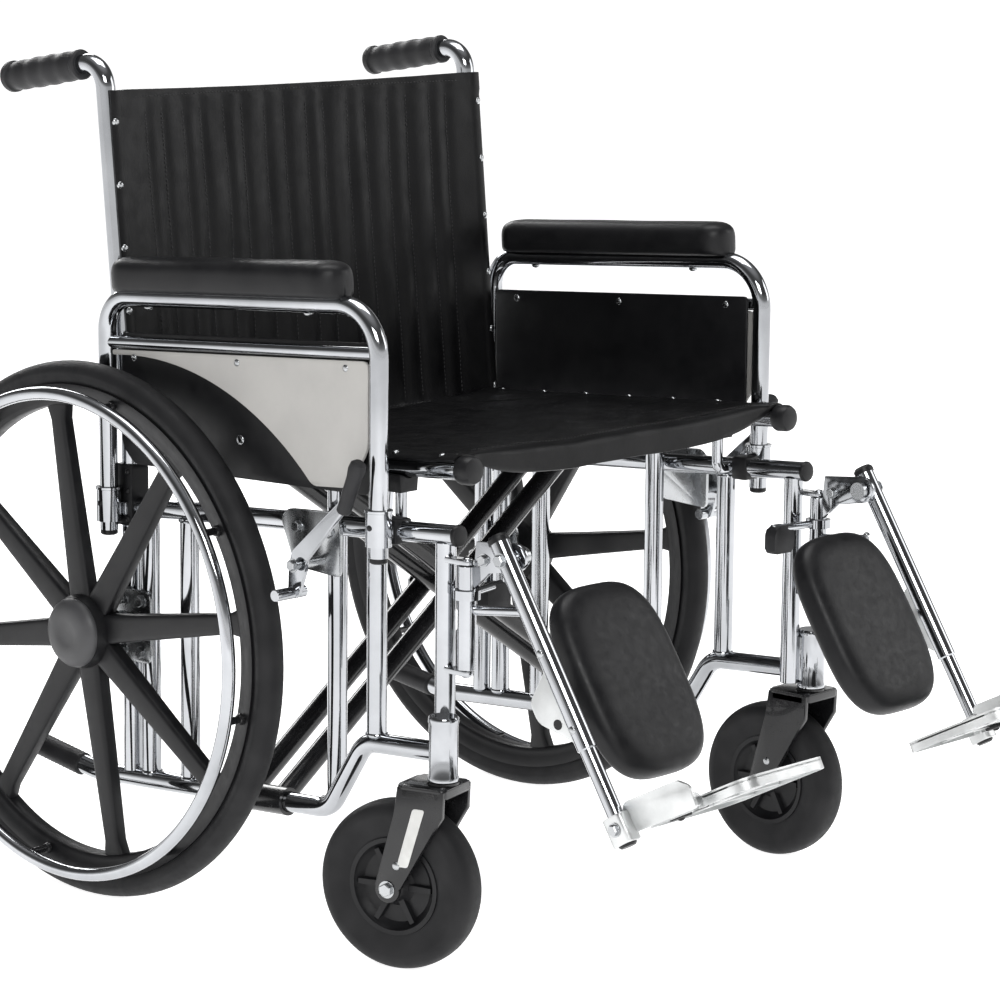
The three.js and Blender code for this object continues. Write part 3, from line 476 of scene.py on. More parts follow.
def frame_fittings(side):
    # rubber on the tipping lever
    tail = Vector((0, 84, 13.5)).normalized()
    p = side.piece("tip_rubber")
    p.lathe((FRAME_X, 85, 121), tail,
            [(0, 0), (12.2, 0), (13.2, 1.5)] + [(13.5 - 0.7 * (i % 2), 4 + i * 3.2) for i in range(24)] +
            [(13.2, 82), (12, 84.6), (9, 85.6), (0, 85.8)], 32)
    p.finish("frame", "grip")

    # black plug in the front end of the upper rail
    p = side.piece("rail_plug")
    front = Vector((0, -1, tan(RAKE))).normalized()
    p.lathe((FRAME_X, -504.5, raked(UPPER_Z, -504.5)), front,
            [(0, 0), (11.9, 0), (11.9, 2.2), (10.5, 4), (6, 5), (0, 5.2)], 32)
    p.finish("frame", "plastic")

    # push grip with shallow finger waves and ridged ends
    start = Vector((FRAME_X, HANDLE_Y, HANDLE_Z))
    along = (Vector((FRAME_X, GRIP_Y, GRIP_Z)) - start).normalized()
    length, waved = 128, 104
    front = Vector((FRAME_X, GRIP_Y, GRIP_Z)) + along * (9 - length)
    profile = [(0, 1), (12.5, 1), (15.5, 0), (17.2, 2), (17.2, 6), (15.6, 8)]
    for i in range(41):
        d = 10 + i * 2.6
        wave = 0.9 * cos((d - 10) / waved * 8 * pi)
        profile.append((16.4 - wave * 0.55 + 0.9 * sin(pi * (d - 10) / waved), d))
    profile += [(16.2, 116), (18, 118), (18, 123), (16.5, 126), (11, length), (0, length + 0.4)]
    side.piece("grip_rubber").lathe(front, along, profile, 40).finish("frame", "grip", "push_grip")

    # axle plate, its bolts and the axle
    outline = [(-46, 262), (-46, 345), (15, 345), (15, 262)]
    p = side.piece("axle_plate")
    p.prism(soften(outline, 10), "x", 306.5, 311, 1.0)
    for y, z in ((AXLE_POST_Y, 274), (AXLE_POST_Y, 333), (CANE_Y, 274), (CANE_Y, 333)):
        p.bolt((311, y, z), OUT, 6.5, 4)
    p.disc(HUB, OUT, 10, 279, 285, 6)
    p.lathe(HUB, OUT, [(0, 303), (15, 303), (15, 320), (13, 323), (0, 323)], 32)
    p.finish("frame", "steel", "rear_axle")

    # armrest sockets clamped to the upper rail
    for label, y0, y in (("front", ARM_FRONT_Y, ARM_FRONT_Y), ("rear", 0, ARM_REAR_Y)):
        z = raked(UPPER_Z, y0)
        p = side.piece(f"{label}_socket")
        p.lathe((ARM_X, y, z), UP, [(10.9, -14), (14.4, -14), (14.4, 22), (15.4, 22.5), (15.4, 25),
                                    (10.9, 25), (10.9, -14)], 36)
        p.block((FRAME_X + 4, ARM_X - 9), (y0 - 9, y0 + 4), (z - 8, z + 8), 2)
        p.finish("frame", "chrome")
        p = side.piece(f"{label}_clamp")
        if label == "front":
            p.block((FRAME_X - 13, FRAME_X + 13), (y0 - 12, y0 + 10), (z - 13.5, z + 13.5), 3)
        else:
            outline = [(-15, z - 20), (-15, z + 50), (15, z + 50), (15, z - 20)]
            p.prism(soften(outline, 5), "x", 283.5, 308.5, 1.5)
            for up in (-12, 20, 42):
                p.dome((308.5, -8, z + up), OUT, 3.6, 2.4)
        p.block((ARM_X + 8, ARM_X + 13), (y - 6, y + 6), (z + 1, z + 13), 2)
        p.dome((ARM_X + 13, y, z + 7), OUT, 4, 2.5)
        p.finish("frame", "plastic")

    # saddles that the seat rail drops into
    for y in (-120, SEAT_POST_Y, -396):
        top = raked(SEAT_Z, y)
        cup = [(-14.5, -8), (-13, -27), (13, -27), (14.5, -8)] + arc(0, 0, 12.2, -40, -140, 12)
        p = side.piece(f"saddle_{-y}")
        p.prism([(SEAT_X + a, top + b) for a, b in cup], "y", y - 12, y + 12, 1.2)
        p.finish("frame", "plastic")
        if y != SEAT_POST_Y:
            z = raked(UPPER_Z, y)
            p = side.piece(f"saddle_bracket_{-y}")
            p.tube([(FRAME_X - 9, y, z), (SEAT_X, y, z), (SEAT_X, y, top - 26)], 6.5, 9, 20)
            p.finish("frame", "chrome")

    # hinge lugs for the legrest
    p = side.piece("hinge_lugs")
    for z in (325.3, 442.7):
        root = [(HANGER_X - 7, STEM_Y - 8), (HANGER_X + 7, STEM_Y - 8)]
        p.prism(root + arc(HANGER_X, HANGER_Y, 7.5, 0, -180, 12), "z", z - 2.8, z + 2.8, 0.8)
        p.dome((HANGER_X, HANGER_Y, z + (2.8 if z > 400 else -2.8)), (0, 0, 1 if z > 400 else -1), 5.5, 3)
    p.finish("frame", "chrome")


def soften(points, radius, steps=4):
    """Rounds the corners of an outline."""
    out = []
    n = len(points)
    for i in range(n):
        a, b, c = (Vector(points[(i + k - 1) % n]) for k in range(3))
        into, away = (b - a), (c - b)
        r = min(radius, into.length * 0.45, away.length * 0.45)
        start, end = b - into.normalized() * r, b + away.normalized() * r
        for k in range(steps + 1):
            t = k / steps
            q = start.lerp(b, t).lerp(b.lerp(end, t), t)
            out.append((q.x, q.y))
    return out


def both_faces(half):
    """A closed lathe profile, from the half on the inner face."""
    return half + [(r, -h) for r, h in reversed(half)] + half[:1]


def rounded(x, y, radius):
    """A rectangle with soft corners."""
    return soften([(x[0], y[0]), (x[1], y[0]), (x[1], y[1]), (x[0], y[1])], radius)


# ---- rear wheel
def rear_wheel(side):
    profile = [(279, -12)]
    for i in range(25):
        a = radians(-78 + i * 156 / 24)
        profile.append((286.5 + 18.5 * cos(a) ** 0.8, 17.5 * sin(a)))
    profile += [(279, 12), (279, -12)]
    p = side.piece("tyre_solid")
    p.lathe(WHEEL, OUT, profile, 144)
    p.finish("wheel", "tyre", "rear_tyre", sharp=60)

    p = side.piece("wheel_moulding")
    p.lathe(WHEEL, OUT,
            both_faces([(256, -8), (258, -10.5), (262, -11), (268, -12.5), (274, -15), (280, -15.5)]), 144)
    for i in range(8):
        spin = Matrix.Translation(HUB) @ Matrix.Rotation(SPOKE_TURN + i * pi / 4, 4, "X")
        rings = []
        for k in range(13):
            r = 30 + 229 * k / 12
            t = (r - 30) / 229
            flare = 6 * max(0, 1 - (1 - t) / 0.07) if t > 0.93 else 0
            half = 17.5 - 6.5 * t ** 0.8 + flare
            thick = 10.5 - 2.2 * t
            rings.append([spin @ Vector((WHEEL_X + thick * bulge(sin(a), SPOKE_ROUND), r,
                                         half * bulge(cos(a), SPOKE_ROUND))) for a in turns(24)])
        p.skin(rings)
    p.lathe(WHEEL, OUT,
            [(0, -38), (18, -38), (20, -36), (22, -22), (36, -16), (41, -10), (42, 0), (42, 14),
             (40, 22), (0, 22)], 72)
    p.finish("wheel", "plastic", "mag_wheel", sharp=50)

    p = side.piece("hub_cap")
    p.lathe(WHEEL, OUT,
            [(0, 21), (39, 21), (39.5, 23), (38.5, 26), (35, 30.5), (28, 33.5), (16, 34.5), (14, 33.6),
             (0, 33.6)], 72)
    p.finish("wheel", "hub")

    p = side.piece("handrim_tube")
    ring = [(HANDRIM_R + HANDRIM_TUBE * cos(a), HANDRIM_TUBE * sin(a)) for a in turns(20)]
    p.lathe((HANDRIM_X, 0, AXLE_Z), OUT, ring + ring[:1], 144)
    p.finish("wheel", "chrome", "handrim")
    p = side.piece("handrim_mounts")
    for i in range(8):
        a = SPOKE_TURN + (i + 0.5) * pi / 4
        u = Vector((0, cos(a), sin(a)))
        centre = Vector(HUB) + u * 268
        p.rod(centre + Vector((WHEEL_X + 13.2, 0, 0)), centre + Vector((HANDRIM_X - 4, 0, 0)), 4.2, 16)
        p.lathe(centre, OUT, [(0, WHEEL_X + 14), (6.5, WHEEL_X + 14), (6.5, WHEEL_X + 16), (5, WHEEL_X + 19),
                                    (0, WHEEL_X + 19)], 20)
    p.finish("wheel", "paint")


# ---- caster
def caster(side):
    yaw = Matrix.Rotation(side.sign * CASTER_YAW[side.name], 4, "Z")
    place = Matrix.Translation(STEM) @ yaw
    axle = (0, CASTER_TRAIL, CASTER_Z)
    profile = [(53.2, -17)]
    for i in range(25):
        a = radians(-84 + i * 168 / 24)
        c, s = cos(a), sin(a)
        profile.append((70 + 22 * c ** 0.62, 22 * bulge(s, 0.8)))
    profile += [(53.2, 17), (53.2, -17)]
    p = side.piece("caster_rubber", place)
    p.lathe(axle, OUT, profile, 96)
    p.finish("caster", "tyre", "caster_tyre", sharp=60)

    p = side.piece("caster_core", place)
    p.lathe(axle, OUT,
            both_faces([(5.4, -24), (13, -24), (15, -22), (17, -15), (22, -10), (40, -9), (46, -14),
                        (48, -18), (53, -18.5)]), 72)
    for face in (-1, 1):
        for i in range(6):
            a = i * pi / 3
            u, v = Vector((0, cos(a), sin(a))), Vector((0, -sin(a), cos(a)))
            base = Vector(axle)
            ring = []
            for r, w in ((16, 5), (44, 4)):
                ring.append([base + u * r + v * (w * c) + Vector((face * d, 0, 0))
                             for c, d in ((-1, 8), (1, 8), (0.7, 15.5), (-0.7, 15.5))])
            p.skin(ring)
    p.finish("caster", "plastic", "caster_wheel")

    p = side.piece("fork_forging", place)
    p.prism(soften([(-31, -18), (31, -18), (31, 36), (24, 42), (-24, 42), (-31, 36)], 7), "z", 196, 206, 2.2)
    p.lathe((0, 0, 0), UP, [(0, 204), (15, 204), (14, 206.3), (0, 206.3)], 36)
    foot = arc(CASTER_TRAIL, CASTER_Z, 15, 165, 375, 14)
    leg = [(-17, 204), (-16, 176)] + foot + [(43, 172), (39, 204)]
    for x in (25, -31):
        p.prism(leg, "x", x, x + 6, 1.8)
    p.finish("fork", "paint", "caster_fork")

    p = side.piece("caster_bolts", place)
    for end in (-1, 1):
        p.bolt((end * 31.2, CASTER_TRAIL, CASTER_Z), (end, 0, 0), 7.5, 5)
        p.dome((end * 31.2, CASTER_TRAIL - 11, CASTER_Z + 27), (end, 0, 0), 4.5, 2)
    p.rod((-31, CASTER_TRAIL, CASTER_Z), (31, CASTER_TRAIL, CASTER_Z), 5, 20)
    p.finish("fork", "steel", "caster_axle")

    # plain pale strip on the outside of the fork
    p = side.piece("fork_strip", place)
    p.prism(soften([(5, 183), (19, 183), (38, 118), (25, 118)], 3), "x", 31.1, 31.8, 0.2)
    p.finish("fork", "label")


# ---- armrest
def guard_outline(top, radius, rear, front, bottom, chamfer):
    low = raked(bottom, -300) - GUARD_Z
    start = degrees(atan2(low, -sqrt(radius ** 2 - low ** 2)))
    end = degrees(acos((rear - GUARD_Y) / radius))
    points = [(rear, raked(top, rear)), (front, raked(top, front)), (front, raked(bottom + chamfer, front)),
              (front + chamfer * 0.7, raked(bottom, front + chamfer))]
    return points + arc(GUARD_Y, GUARD_Z, radius, start, end, 28)


def armrest(side):
    p = side.piece("arm_loop")
    p.tube([(ARM_X, ARM_REAR_Y, 413), (ARM_X, ARM_REAR_Y, raked(ARM_Z, ARM_REAR_Y)),
            (ARM_X, ARM_FRONT_Y, raked(ARM_Z, ARM_FRONT_Y)), (ARM_X, ARM_FRONT_Y, 436)], 10.4, [40, 54])
    p.rod(*((ARM_X, y, raked(CROSSBAR_Z, y)) for y in (ARM_REAR_Y, ARM_FRONT_Y)), 7)
    p.finish("armrest", "chrome", "arm_frame")

    p = side.piece("arm_plugs")
    for y, z in ((ARM_FRONT_Y, 430), (ARM_REAR_Y, 407)):
        p.lathe((ARM_X, y, z), UP, [(0, 0), (8, 0), (9.8, 1.5), (9.8, 6), (0, 6)], 28)
    p.finish("armrest", "plastic")

    p = side.piece("panel_sheet")
    outline = guard_outline(CROSSBAR_Z - 8, 380, -4, ARM_FRONT_Y + 12, 484, 42)
    p.prism(soften(outline, 9, 3), "x", 323, 326.6, 0.9)
    p.finish("armrest", "panel", "arm_panel")

    p = side.piece("guard_sheet")
    rear, front = -5, ARM_FRONT_Y + 13
    plate = [(rear, raked(637, rear)), (front, raked(637, front)), (front, raked(486, front)),
             (front + 12, raked(474, front)), (rear - 20, raked(490, rear)), (rear, raked(510, rear))]
    p.prism(soften(plate, 6, 3), "x", 310, 313.4, 0.9)
    p.finish("armrest", "plastic", "arm_guard")

    p = side.piece("panel_rivets")
    for y in (-40, -205, -370):
        p.dome((326.6, y, raked(CROSSBAR_Z - 16, y)), OUT, 4, 1.8)
        p.dome((310, y, raked(CROSSBAR_Z, y)), (-1, 0, 0), 4.5, 2)
    p.dome((314, -197, 537), OUT, 6, 2.5)
    p.dome((326.6, -386, 530), OUT, 4, 1.8)
    p.finish("armrest", "steel")
    arm_pad(side)


def arm_pad(side):
    """Moulded armrest pad: a long rounded bar, crowned on top, with a parting seam."""
    length, half, high, middle, count = 352, 27.5, 40, -190, 46
    base = Vector((ARM_X, middle, raked(ARM_Z + 5.5, middle)))
    rings = []
    for i in range(count + 1):
        t = -1 + 2 * i / count
        t = copysign(1 - (1 - abs(t)) ** 1.6, t)
        y = t * length / 2
        end = max(0.0, 1 - max(0.0, (abs(y) - (length / 2 - 26)) / 26) ** 2) ** 0.5
        w = half * (0.12 + 0.88 * end)
        h = high * (0.45 + 0.55 * end)
        ring = []
        for a in turns(36):
            s, x = sin(a), w * bulge(cos(a), 0.62)
            if s >= 0:
                z = high * 0.42 + (h * 0.58) * abs(s) ** 0.72
                z += 0.6 * noise.noise(Vector((x * 0.02, y * 0.012, 3)))
            else:
                z = high * 0.42 - high * 0.42 * abs(s) ** 0.35
            ring.append(base + TILT_3 @ Vector((x, y, z)))
        rings.append(ring)
    p = side.piece("arm_cushion")
    p.skin(rings)
    obj = p.finish("armrest", "foam", "arm_pad", sharp=70)
    p = side.piece("pad_screws")
    for y in (-60, -310):
        p.dome((ARM_X, y, raked(ARM_Z - 11, y)), (0, 0, -1), 5, 3)
    p.finish("armrest", "steel")


# ---- wheel lock
def wheel_lock(side):
    p = side.piece("lock_plate")
    plate = [(-348, 404), (-348, 462), (-338, 474), (-268, 470), (-258, 458), (-280, 408)]
    p.prism(soften(plate, 6), "x", 307.6, 312.2, 0.8)
    p.rod((309, LOCK_Y, LOCK_Z), (357, LOCK_Y, LOCK_Z), 5, 24)
    for y, z in ((-333, 452), (-284, 452)):
        p.bolt((312.2, y, z), OUT, 6, 4)
    p.bolt((357, LOCK_Y, LOCK_Z), OUT, 6, 4)
    p.finish("frame", "steel", "lock_bracket")

    p = side.piece("lock_arm")
    blade = [(LOCK_Y - 12, LOCK_Z + 4), (-396, 490), (-388, 498), (LOCK_Y + 8, LOCK_Z + 13),
             (LOCK_Y + 12, LOCK_Z - 6), (-309, 383), (-323, 383), (LOCK_Y - 13, LOCK_Z - 4)]
    p.prism(soften(blade, 5), "x", LOCK_X - 2.5, LOCK_X + 2.5, 0.8)
    p.rod((LOCK_X - 14, -316, 389), (WHEEL_X + 16, -316, 389), 6.5, 28)
    p.finish("lock", "chrome", "lock_lever")
    p = side.piece("lock_knob")
    p.lathe((LOCK_X, -390, 486), (0, -22, 54),
            [(0, -2), (6.5, -2), (8, 0), (8.2, 40), (9.5, 50), (8.5, 57), (5, 60), (0, 61)], 28)
    p.finish("lock", "grip")


# ---- legrest
def legrest(side):
    p = side.piece("hanger_tube")
    p.rod((HANGER_X, HANGER_Y, 329.4), (HANGER_X, HANGER_Y, 438.8), 10)
    knee = arc(KNEE_Y, KNEE_Z, 15, 90, 270, 12)
    p.prism([(-528, 412), (-534, 466)] + knee + [(-552, 436)], "x", 294, 300, 1.0)
    p.tube([(HANGER_X - 3, HANGER_Y - 4, 392), (HANGER_X - 3, -594, 400)], 5, round_end=1.5)
    p.finish("hanger", "chrome", "legrest_hanger")
    p = side.piece("hanger_bolts")
    p.bolt((294, -545, 448), (-1, 0, 0), 5.5, 4)
    p.bolt((300, -545, 448), OUT, 5.5, 4)
    p.dome((297, -594, 405), UP, 4, 3)
    p.finish("hanger", "steel")

    p = side.piece("latch_bar")
    p.sleeve((HANGER_X, HANGER_Y, 409), UP, 10.5, 14.5, -5, 5)
    p.rod((HANGER_X - 12, HANGER_Y + 1, 409), (234, -509, 409), 4.5, 20)
    p.finish("latch", "chrome", "latch_lever")
    p = side.piece("latch_grip")
    paddle = [(226, 380), (262, 380), (262, 404), (256, 412), (232, 412), (226, 404)]
    p.prism(soften(paddle, 5), "y", -517, -502, 3)
    p.finish("latch", "grip")

    place = leg_place()
    p = side.piece("leg_tube", place)
    p.tube([(LEG_X, 0, 20), (LEG_X, 0, -212)], 10.5, round_end=1.5)
    p.tube([(LEG_X, 0, -208), (LEG_X, 0, -LEG_LENGTH + 8)], 8.7, round_end=0.5)
    p.tube([(CALF_X - 30, 37, -CALF_S), (LEG_X, 37, -CALF_S)], 5, sides=20, round_end=1)
    p.finish("legrest", "chrome", "legrest_tube")

    p = side.piece("leg_plates", place)
    p.prism(soften([(6, -118), (46, -142), (46, -164), (6, -206)], 5), "x", LEG_X - 2.6, LEG_X + 2.6, 0.7)
    p.finish("legrest", "aluminium")
    # a flush black disc on the plate where its hole is: painted shade standing in for the open hole
    side.piece("leg_hole", place).disc((LEG_X, 22, -176), OUT, 5.5, -3, 3).finish("legrest", "plastic")

    p = side.piece("leg_bolts", place)
    p.bolt((LEG_X + 10.2, 0, 0), OUT, 6.5, 4)
    p.lathe((LEG_X, 0, 0), (-1, 0, 0), [(0, 8), (6, 8), (6, 21), (10, 21), (10, 27), (0, 27)], 24)
    for s in (105, 190):
        p.dome((LEG_X + 10, 0, -s), OUT, 4.5, 2.5)
    p.bolt((LEG_X + 10.4, 0, -FOOT_S), OUT, 6, 4)
    p.finish("legrest", "steel")

    p = side.piece("leg_plug", place)
    p.lathe((LEG_X, 0, -LEG_LENGTH - 2), UP, [(0, 0), (8, 0), (9.8, 2), (9.8, 13), (0, 13)], 28)
    p.lathe((LEG_X, 0, 19), UP, [(0, 0), (11.6, 0), (11.6, 5), (9, 8), (0, 8.6)], 28)
    p.finish("legrest", "plastic")

    p = side.piece("foot_clamp", place)
    p.prism(rounded((302, 322), (-14, 14), 6), "z", -FOOT_S - 17, -FOOT_S + 14, 1.2)
    p.place = foot_place()
    wall = [(-6, -9), (-6, 20), (-14, 24), (-86, 24), (-100, 14), (-100, -9)]
    p.prism(soften(wall, 4), "x", 10, 14.5, 0.8)
    for t in (16, 88):
        p.block((0, 11), (-t - 4, -t + 4), (-6, 6), 0.5)
        p.rod((0, -t - 4, 0), (0, -t + 4, 0), 7, 20)
    p.rod((0, -92, 0), (0, -12, 0), 4, 20)
    p.finish("legrest", "aluminium")
    footplate(side)
    calf_pad(side)


def footplate(side):
    """Cast footplate: a shallow pan turned down, with ribs under it and a raised grip pattern on top."""
    place = foot_place()
    inner = FOOT_INNER - FOOT_X
    outline = [(-10, -FOOT_HEEL), (-10, -22), (-3, -22), (-3, -82), (-10, -82), (-10, -94), (-3, -94),
               (-3, -FOOT_TOE + 14), (-16, -FOOT_TOE), (inner + 14, -FOOT_TOE),
               (inner, -FOOT_TOE + 14), (inner, -FOOT_HEEL - 16), (inner + 16, -FOOT_HEEL)]
    p = side.piece("footplate_casting", place)
    rim = soften(outline, 12, 5)
    p.prism(rim, "z", -1.2, 2.6, 0.8)
    centre = Vector((sum(q[0] for q in rim) / len(rim), sum(q[1] for q in rim) / len(rim)))
    rings = []
    for q in rim:
        q = Vector(q)
        a, b = q, q + (centre - q).normalized() * 3.4
        rings.append([(a.x, a.y, 0.5), (a.x, a.y, -9.4), (b.x, b.y, -9.4), (b.x, b.y, 0.5)])
    p.skin(rings, closed=True, caps=False)
    for i in range(1, 4):
        y = -FOOT_HEEL - (FOOT_TOE - FOOT_HEEL) * i / 4
        p.block((inner + 4, -10), (y - 1.4, y + 1.4), (-7.5, 0), 0.5)
    x = (inner - 4) / 2
    p.block((x - 1.4, x + 1.4), (-FOOT_TOE + 5, -FOOT_HEEL - 5), (-7.5, 0), 0.5)
    for i in range(6):
        for k in range(9):
            cx, cy = -24 - i * 20, -FOOT_HEEL - 14 - k * 14
            p.lathe((cx, cy, 0), UP, [(0, 2.4), (4.2, 2.4), (3.4, 3.5), (0, 3.5)], 10)
    p.sleeve((0, -82, 0), REAR, 4.3, 7.8, 0, 60, 28)
    p.finish("foot", "aluminium", "footplate", sharp=30)
    p = side.piece("footplate_stop", place)
    p.block((-26, -8), (-58, -40), (-11, -6), 1.5)
    p.dome((-17, -49, -11), (0, 0, -1), 4, 2.5)
    p.block((-24, -10), (-84, -72), (-10, -5), 1.5)
    p.finish("foot", "plastic")


def calf_pad(side):
    """Padded calf rest: a stuffed oval board with a seam round its edge."""
    place = leg_place()
    width, length = 158, 215
    rings = []
    for i in range(40):
        phi = pi * i / 39 - pi / 2
        c, s = max(0.0, cos(phi)), sin(phi)
        r = 0.02 + 0.98 * c ** 0.24
        depth = bulge(s, 0.75)
        y = 8 - depth * (20 if depth > 0 else 17)
        rings.append([(CALF_X + width / 2 * bulge(cos(a), 0.6) * r, y,
                       -CALF_S + length / 2 * bulge(sin(a), 0.6) * r) for a in turns(72)])
    p = side.piece("calf_cushion", place)
    p.skin(rings)
    obj = p.finish("calf", "foam", "calf_pad", slot="black_vinyl", sharp=80)
    p = side.piece("calf_mount", place)
    p.prism(rounded((CALF_X - 22, CALF_X + 22), (-CALF_S - 24, -CALF_S + 24), 6), "y", 24, 28.5, 0.8)
    for x in (CALF_X - 16, CALF_X + 16):
        p.prism(rounded((24, 45), (-CALF_S - 9, -CALF_S + 9), 5), "x", x - 2.5, x + 2.5, 0.6)
    p.finish("calf", "steel")


# ---- cross-brace
def cross_brace():
    for side, stations in zip(SIDES, ((-196, -248), (-222, -274))):
        brace, body = f"brace_{side.name}", f"brace_{side.name}_body"
        p = Piece(brace + "_tubes", side.sign, TILT)
        for y in stations:
            p.tube([(-FRAME_X, y, BRACE_LOW), (SEAT_X, y, BRACE_HIGH)], 12)
        p.finish(body, "paint", brace)
        p = Piece(brace + "_rail", side.sign, TILT)
        p.tube([(SEAT_X, RAIL_FRONT, BRACE_HIGH), (SEAT_X, RAIL_REAR, BRACE_HIGH)], TUBE)
        p.finish(body, "chrome")
        p = Piece(brace + "_sleeve", side.sign, TILT)
        p.sleeve((-FRAME_X, stations[1] - 14, BRACE_LOW), REAR, 11.7, 15.6, 0, 80)
        p.finish(body, "paint")
        p = Piece(brace + "_caps", side.sign, TILT)
        for y, way in ((RAIL_FRONT, -1), (RAIL_REAR, 1)):
            p.lathe((SEAT_X, y, BRACE_HIGH), (0, way, 0),
                    [(0, -12), (14.6, -12), (15.4, -10), (15.4, 2), (13.5, 5.5), (8, 7), (0, 7.2)], 32)
        p.finish(body, "plastic")
    p = Piece("brace_pivot", 1, TILT)
    p.rod((0, -286, BRACE_MID), (0, -184, BRACE_MID), 4, 20)
    p.bolt((0, -286.5, BRACE_MID), (0, -1, 0), 8, 5)
    p.bolt((0, -183.5, BRACE_MID), REAR, 8, 6)
    p.finish("brace_left_body", "steel", "brace_bolt")


# ---- upholstery
def sheet_mesh(name, grid, thick, material):
    """A closed double-skinned sheet from a grid of (point, outward direction)."""
    bm = bmesh.new()
    top = [[bm.verts.new(metres(p + n * (thick / 2))) for p, n in row] for row in grid]
    low = [[bm.verts.new(metres(p - n * (thick / 2))) for p, n in row] for row in grid]
    rows, cols = len(grid), len(grid[0])
    for i in range(rows - 1):
        for j in range(cols - 1):
            bm.faces.new((top[i][j], top[i][j + 1], top[i + 1][j + 1], top[i + 1][j]))
            bm.faces.new((low[i][j], low[i + 1][j], low[i + 1][j + 1], low[i][j + 1]))
    for i in range(rows - 1):
        bm.faces.new((top[i][0], top[i + 1][0], low[i + 1][0], low[i][0]))
        bm.faces.new((top[i][-1], low[i][-1], low[i + 1][-1], top[i + 1][-1]))
    for j in range(cols - 1):
        bm.faces.new((top[0][j], low[0][j], low[0][j + 1], top[0][j + 1]))
        bm.faces.new((top[-1][j], top[-1][j + 1], low[-1][j + 1], low[-1][j]))
    return mesh_object(name, bm, material, 75)


def sling_path(half, radius, sag, across, end_angle):
    """Section of a sling hung between tubes at x = +-half: x, height and the two parts of its normal."""
    wrap = []
    for i in range(WRAP):
        a = radians(end_angle + (115 - end_angle) * i / (WRAP - 1))
        wrap.append((half + radius * cos(a), radius * sin(a), cos(a), sin(a)))
    edge = wrap[-1]
    out = list(wrap)
    for i in range(1, across):
        u = 1 - 2 * i / across
        x = u * edge[0]
        h = edge[1] - sag * (1 - abs(u) ** 2.2)
        slope = sag * 2.2 * bulge(u, 1.2) / edge[0]
        n = Vector((-slope, 1)).normalized()
        out.append((x, h, n.x, n.y))
    for w in reversed(wrap):
        out.append((-w[0], w[1], -w[2], w[3]))
    return out


def seat_height(x, y, h):
    """Height of the seat cover's middle: sling, slack and corner creases, hem and crowned front edge."""
    v = (y - SEAT_FRONT) / (SEAT_REAR - SEAT_FRONT)
    free = max(0.0, 1 - (abs(x) / SEAT_FREE) ** 6)
    w = 2.2 * noise.noise(Vector((x * 0.006, y * 0.012, 1.7)))
    w += 1.6 * noise.noise(Vector((x * 0.016 + 3, y * 0.02, 5.1)))
    corner = exp(-((abs(x) - 215) / 60) ** 2) * exp(-((y + 120) / 110) ** 2)
    w += 2.4 * corner * sin((x * 0.9 + y) * 0.07)
    hem = 1.2 if (v < 0.05 or v > 0.95) else 0.0
    crown = 7.0 * exp(-(v / 0.1) ** 2) * free
    return BRACE_HIGH + h + w * free + hem + crown, free


def sling_depth(section, x):
    """Height of the sling's section nearest to x, between the tubes."""
    return min(section[WRAP:-WRAP], key=lambda q: abs(q[0] - x))[1]


def hang_between_rails(obj):
    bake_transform(obj)


def seat_sling():
    section = sling_path(SEAT_X, SEAT_WRAP_R, 9, 70, 40)
    grid = []
    for k in range(6):  # the front edge turned down
        t = 1 - k / 6
        row = []
        for x, h, nx, nh in section:
            z, free = seat_height(x, SEAT_FRONT, h)
            p = Vector((x, SEAT_FRONT - 1.2 - 2.6 * t ** 0.5, z - 29 * t * free))
            n = Vector((nx * (1 - free), -free, nh * (1 - free) + 0.25))
            row.append((TILT_3 @ p, TILT_3 @ n.normalized()))
        grid.append(row)
    for i in range(65):
        y = SEAT_FRONT + (SEAT_REAR - SEAT_FRONT) * i / 64
        grid.append([(TILT_3 @ Vector((x, y, seat_height(x, y, h)[0])), TILT_3 @ Vector((nx, 0, nh)))
                     for x, h, nx, nh in section])
    obj = sheet_mesh("seat_cover", grid, SEAT_THICK, "vinyl")
    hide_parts("seat_sling")
    hang_between_rails(obj)
    # screws with finishing washers along each rail
    for side in SIDES:
        p = Piece(f"seat_screws_{side.name}", side.sign, TILT)
        out = Vector((cos(radians(72)), 0, sin(radians(72))))
        for k in range(7):
            p.dome(Vector((SEAT_X, -492 + k * 68, BRACE_HIGH)) + out * 16, out, 4.2, 2)
        p.finish(f"brace_{side.name}_body", "steel")
    # stitched hem along the front edge
    bm = bmesh.new()
    y = SEAT_FRONT + 11
    for x in span(-236, 236, 5.2):
        z = seat_height(x, y, sling_depth(section, x))[0] + 2.7
        add_stitch(bm, TILT_3 @ Vector((x, y, z)), Vector(OUT), 2.6)
    obj = mesh_object("seat_hem_stitches", bm, "thread")
    hang_between_rails(obj)


def span(a, b, step):
    n = max(1, int(abs(b - a) / step))
    return [a + (b - a) * i / n for i in range(n + 1)]


def add_stitch(bm, p, along, length, radius=0.55):
    """A short raised loop of thread."""
    up = perpendicular(along)
    rings = []
    for t, r in ((-1, 0.35), (-0.6, 1), (0.6, 1), (1, 0.35)):
        centre = p + along * (t * length / 2)
        rings.append([bm.verts.new(metres(q)) for q in circle(centre, along, up, radius * r, 5)])
    for a, b in zip(rings, rings[1:]):
        for k in range(5):
            bm.faces.new((a[k], a[(k + 1) % 5], b[(k + 1) % 5], b[k]))
    bm.faces.new(rings[0][::-1])
    bm.faces.new(rings[-1])


CHANNELS = [-244, -216, -180, -151, -113, -84, -47, -15, 21, 49, 88, 117, 154, 184, 221, 247]


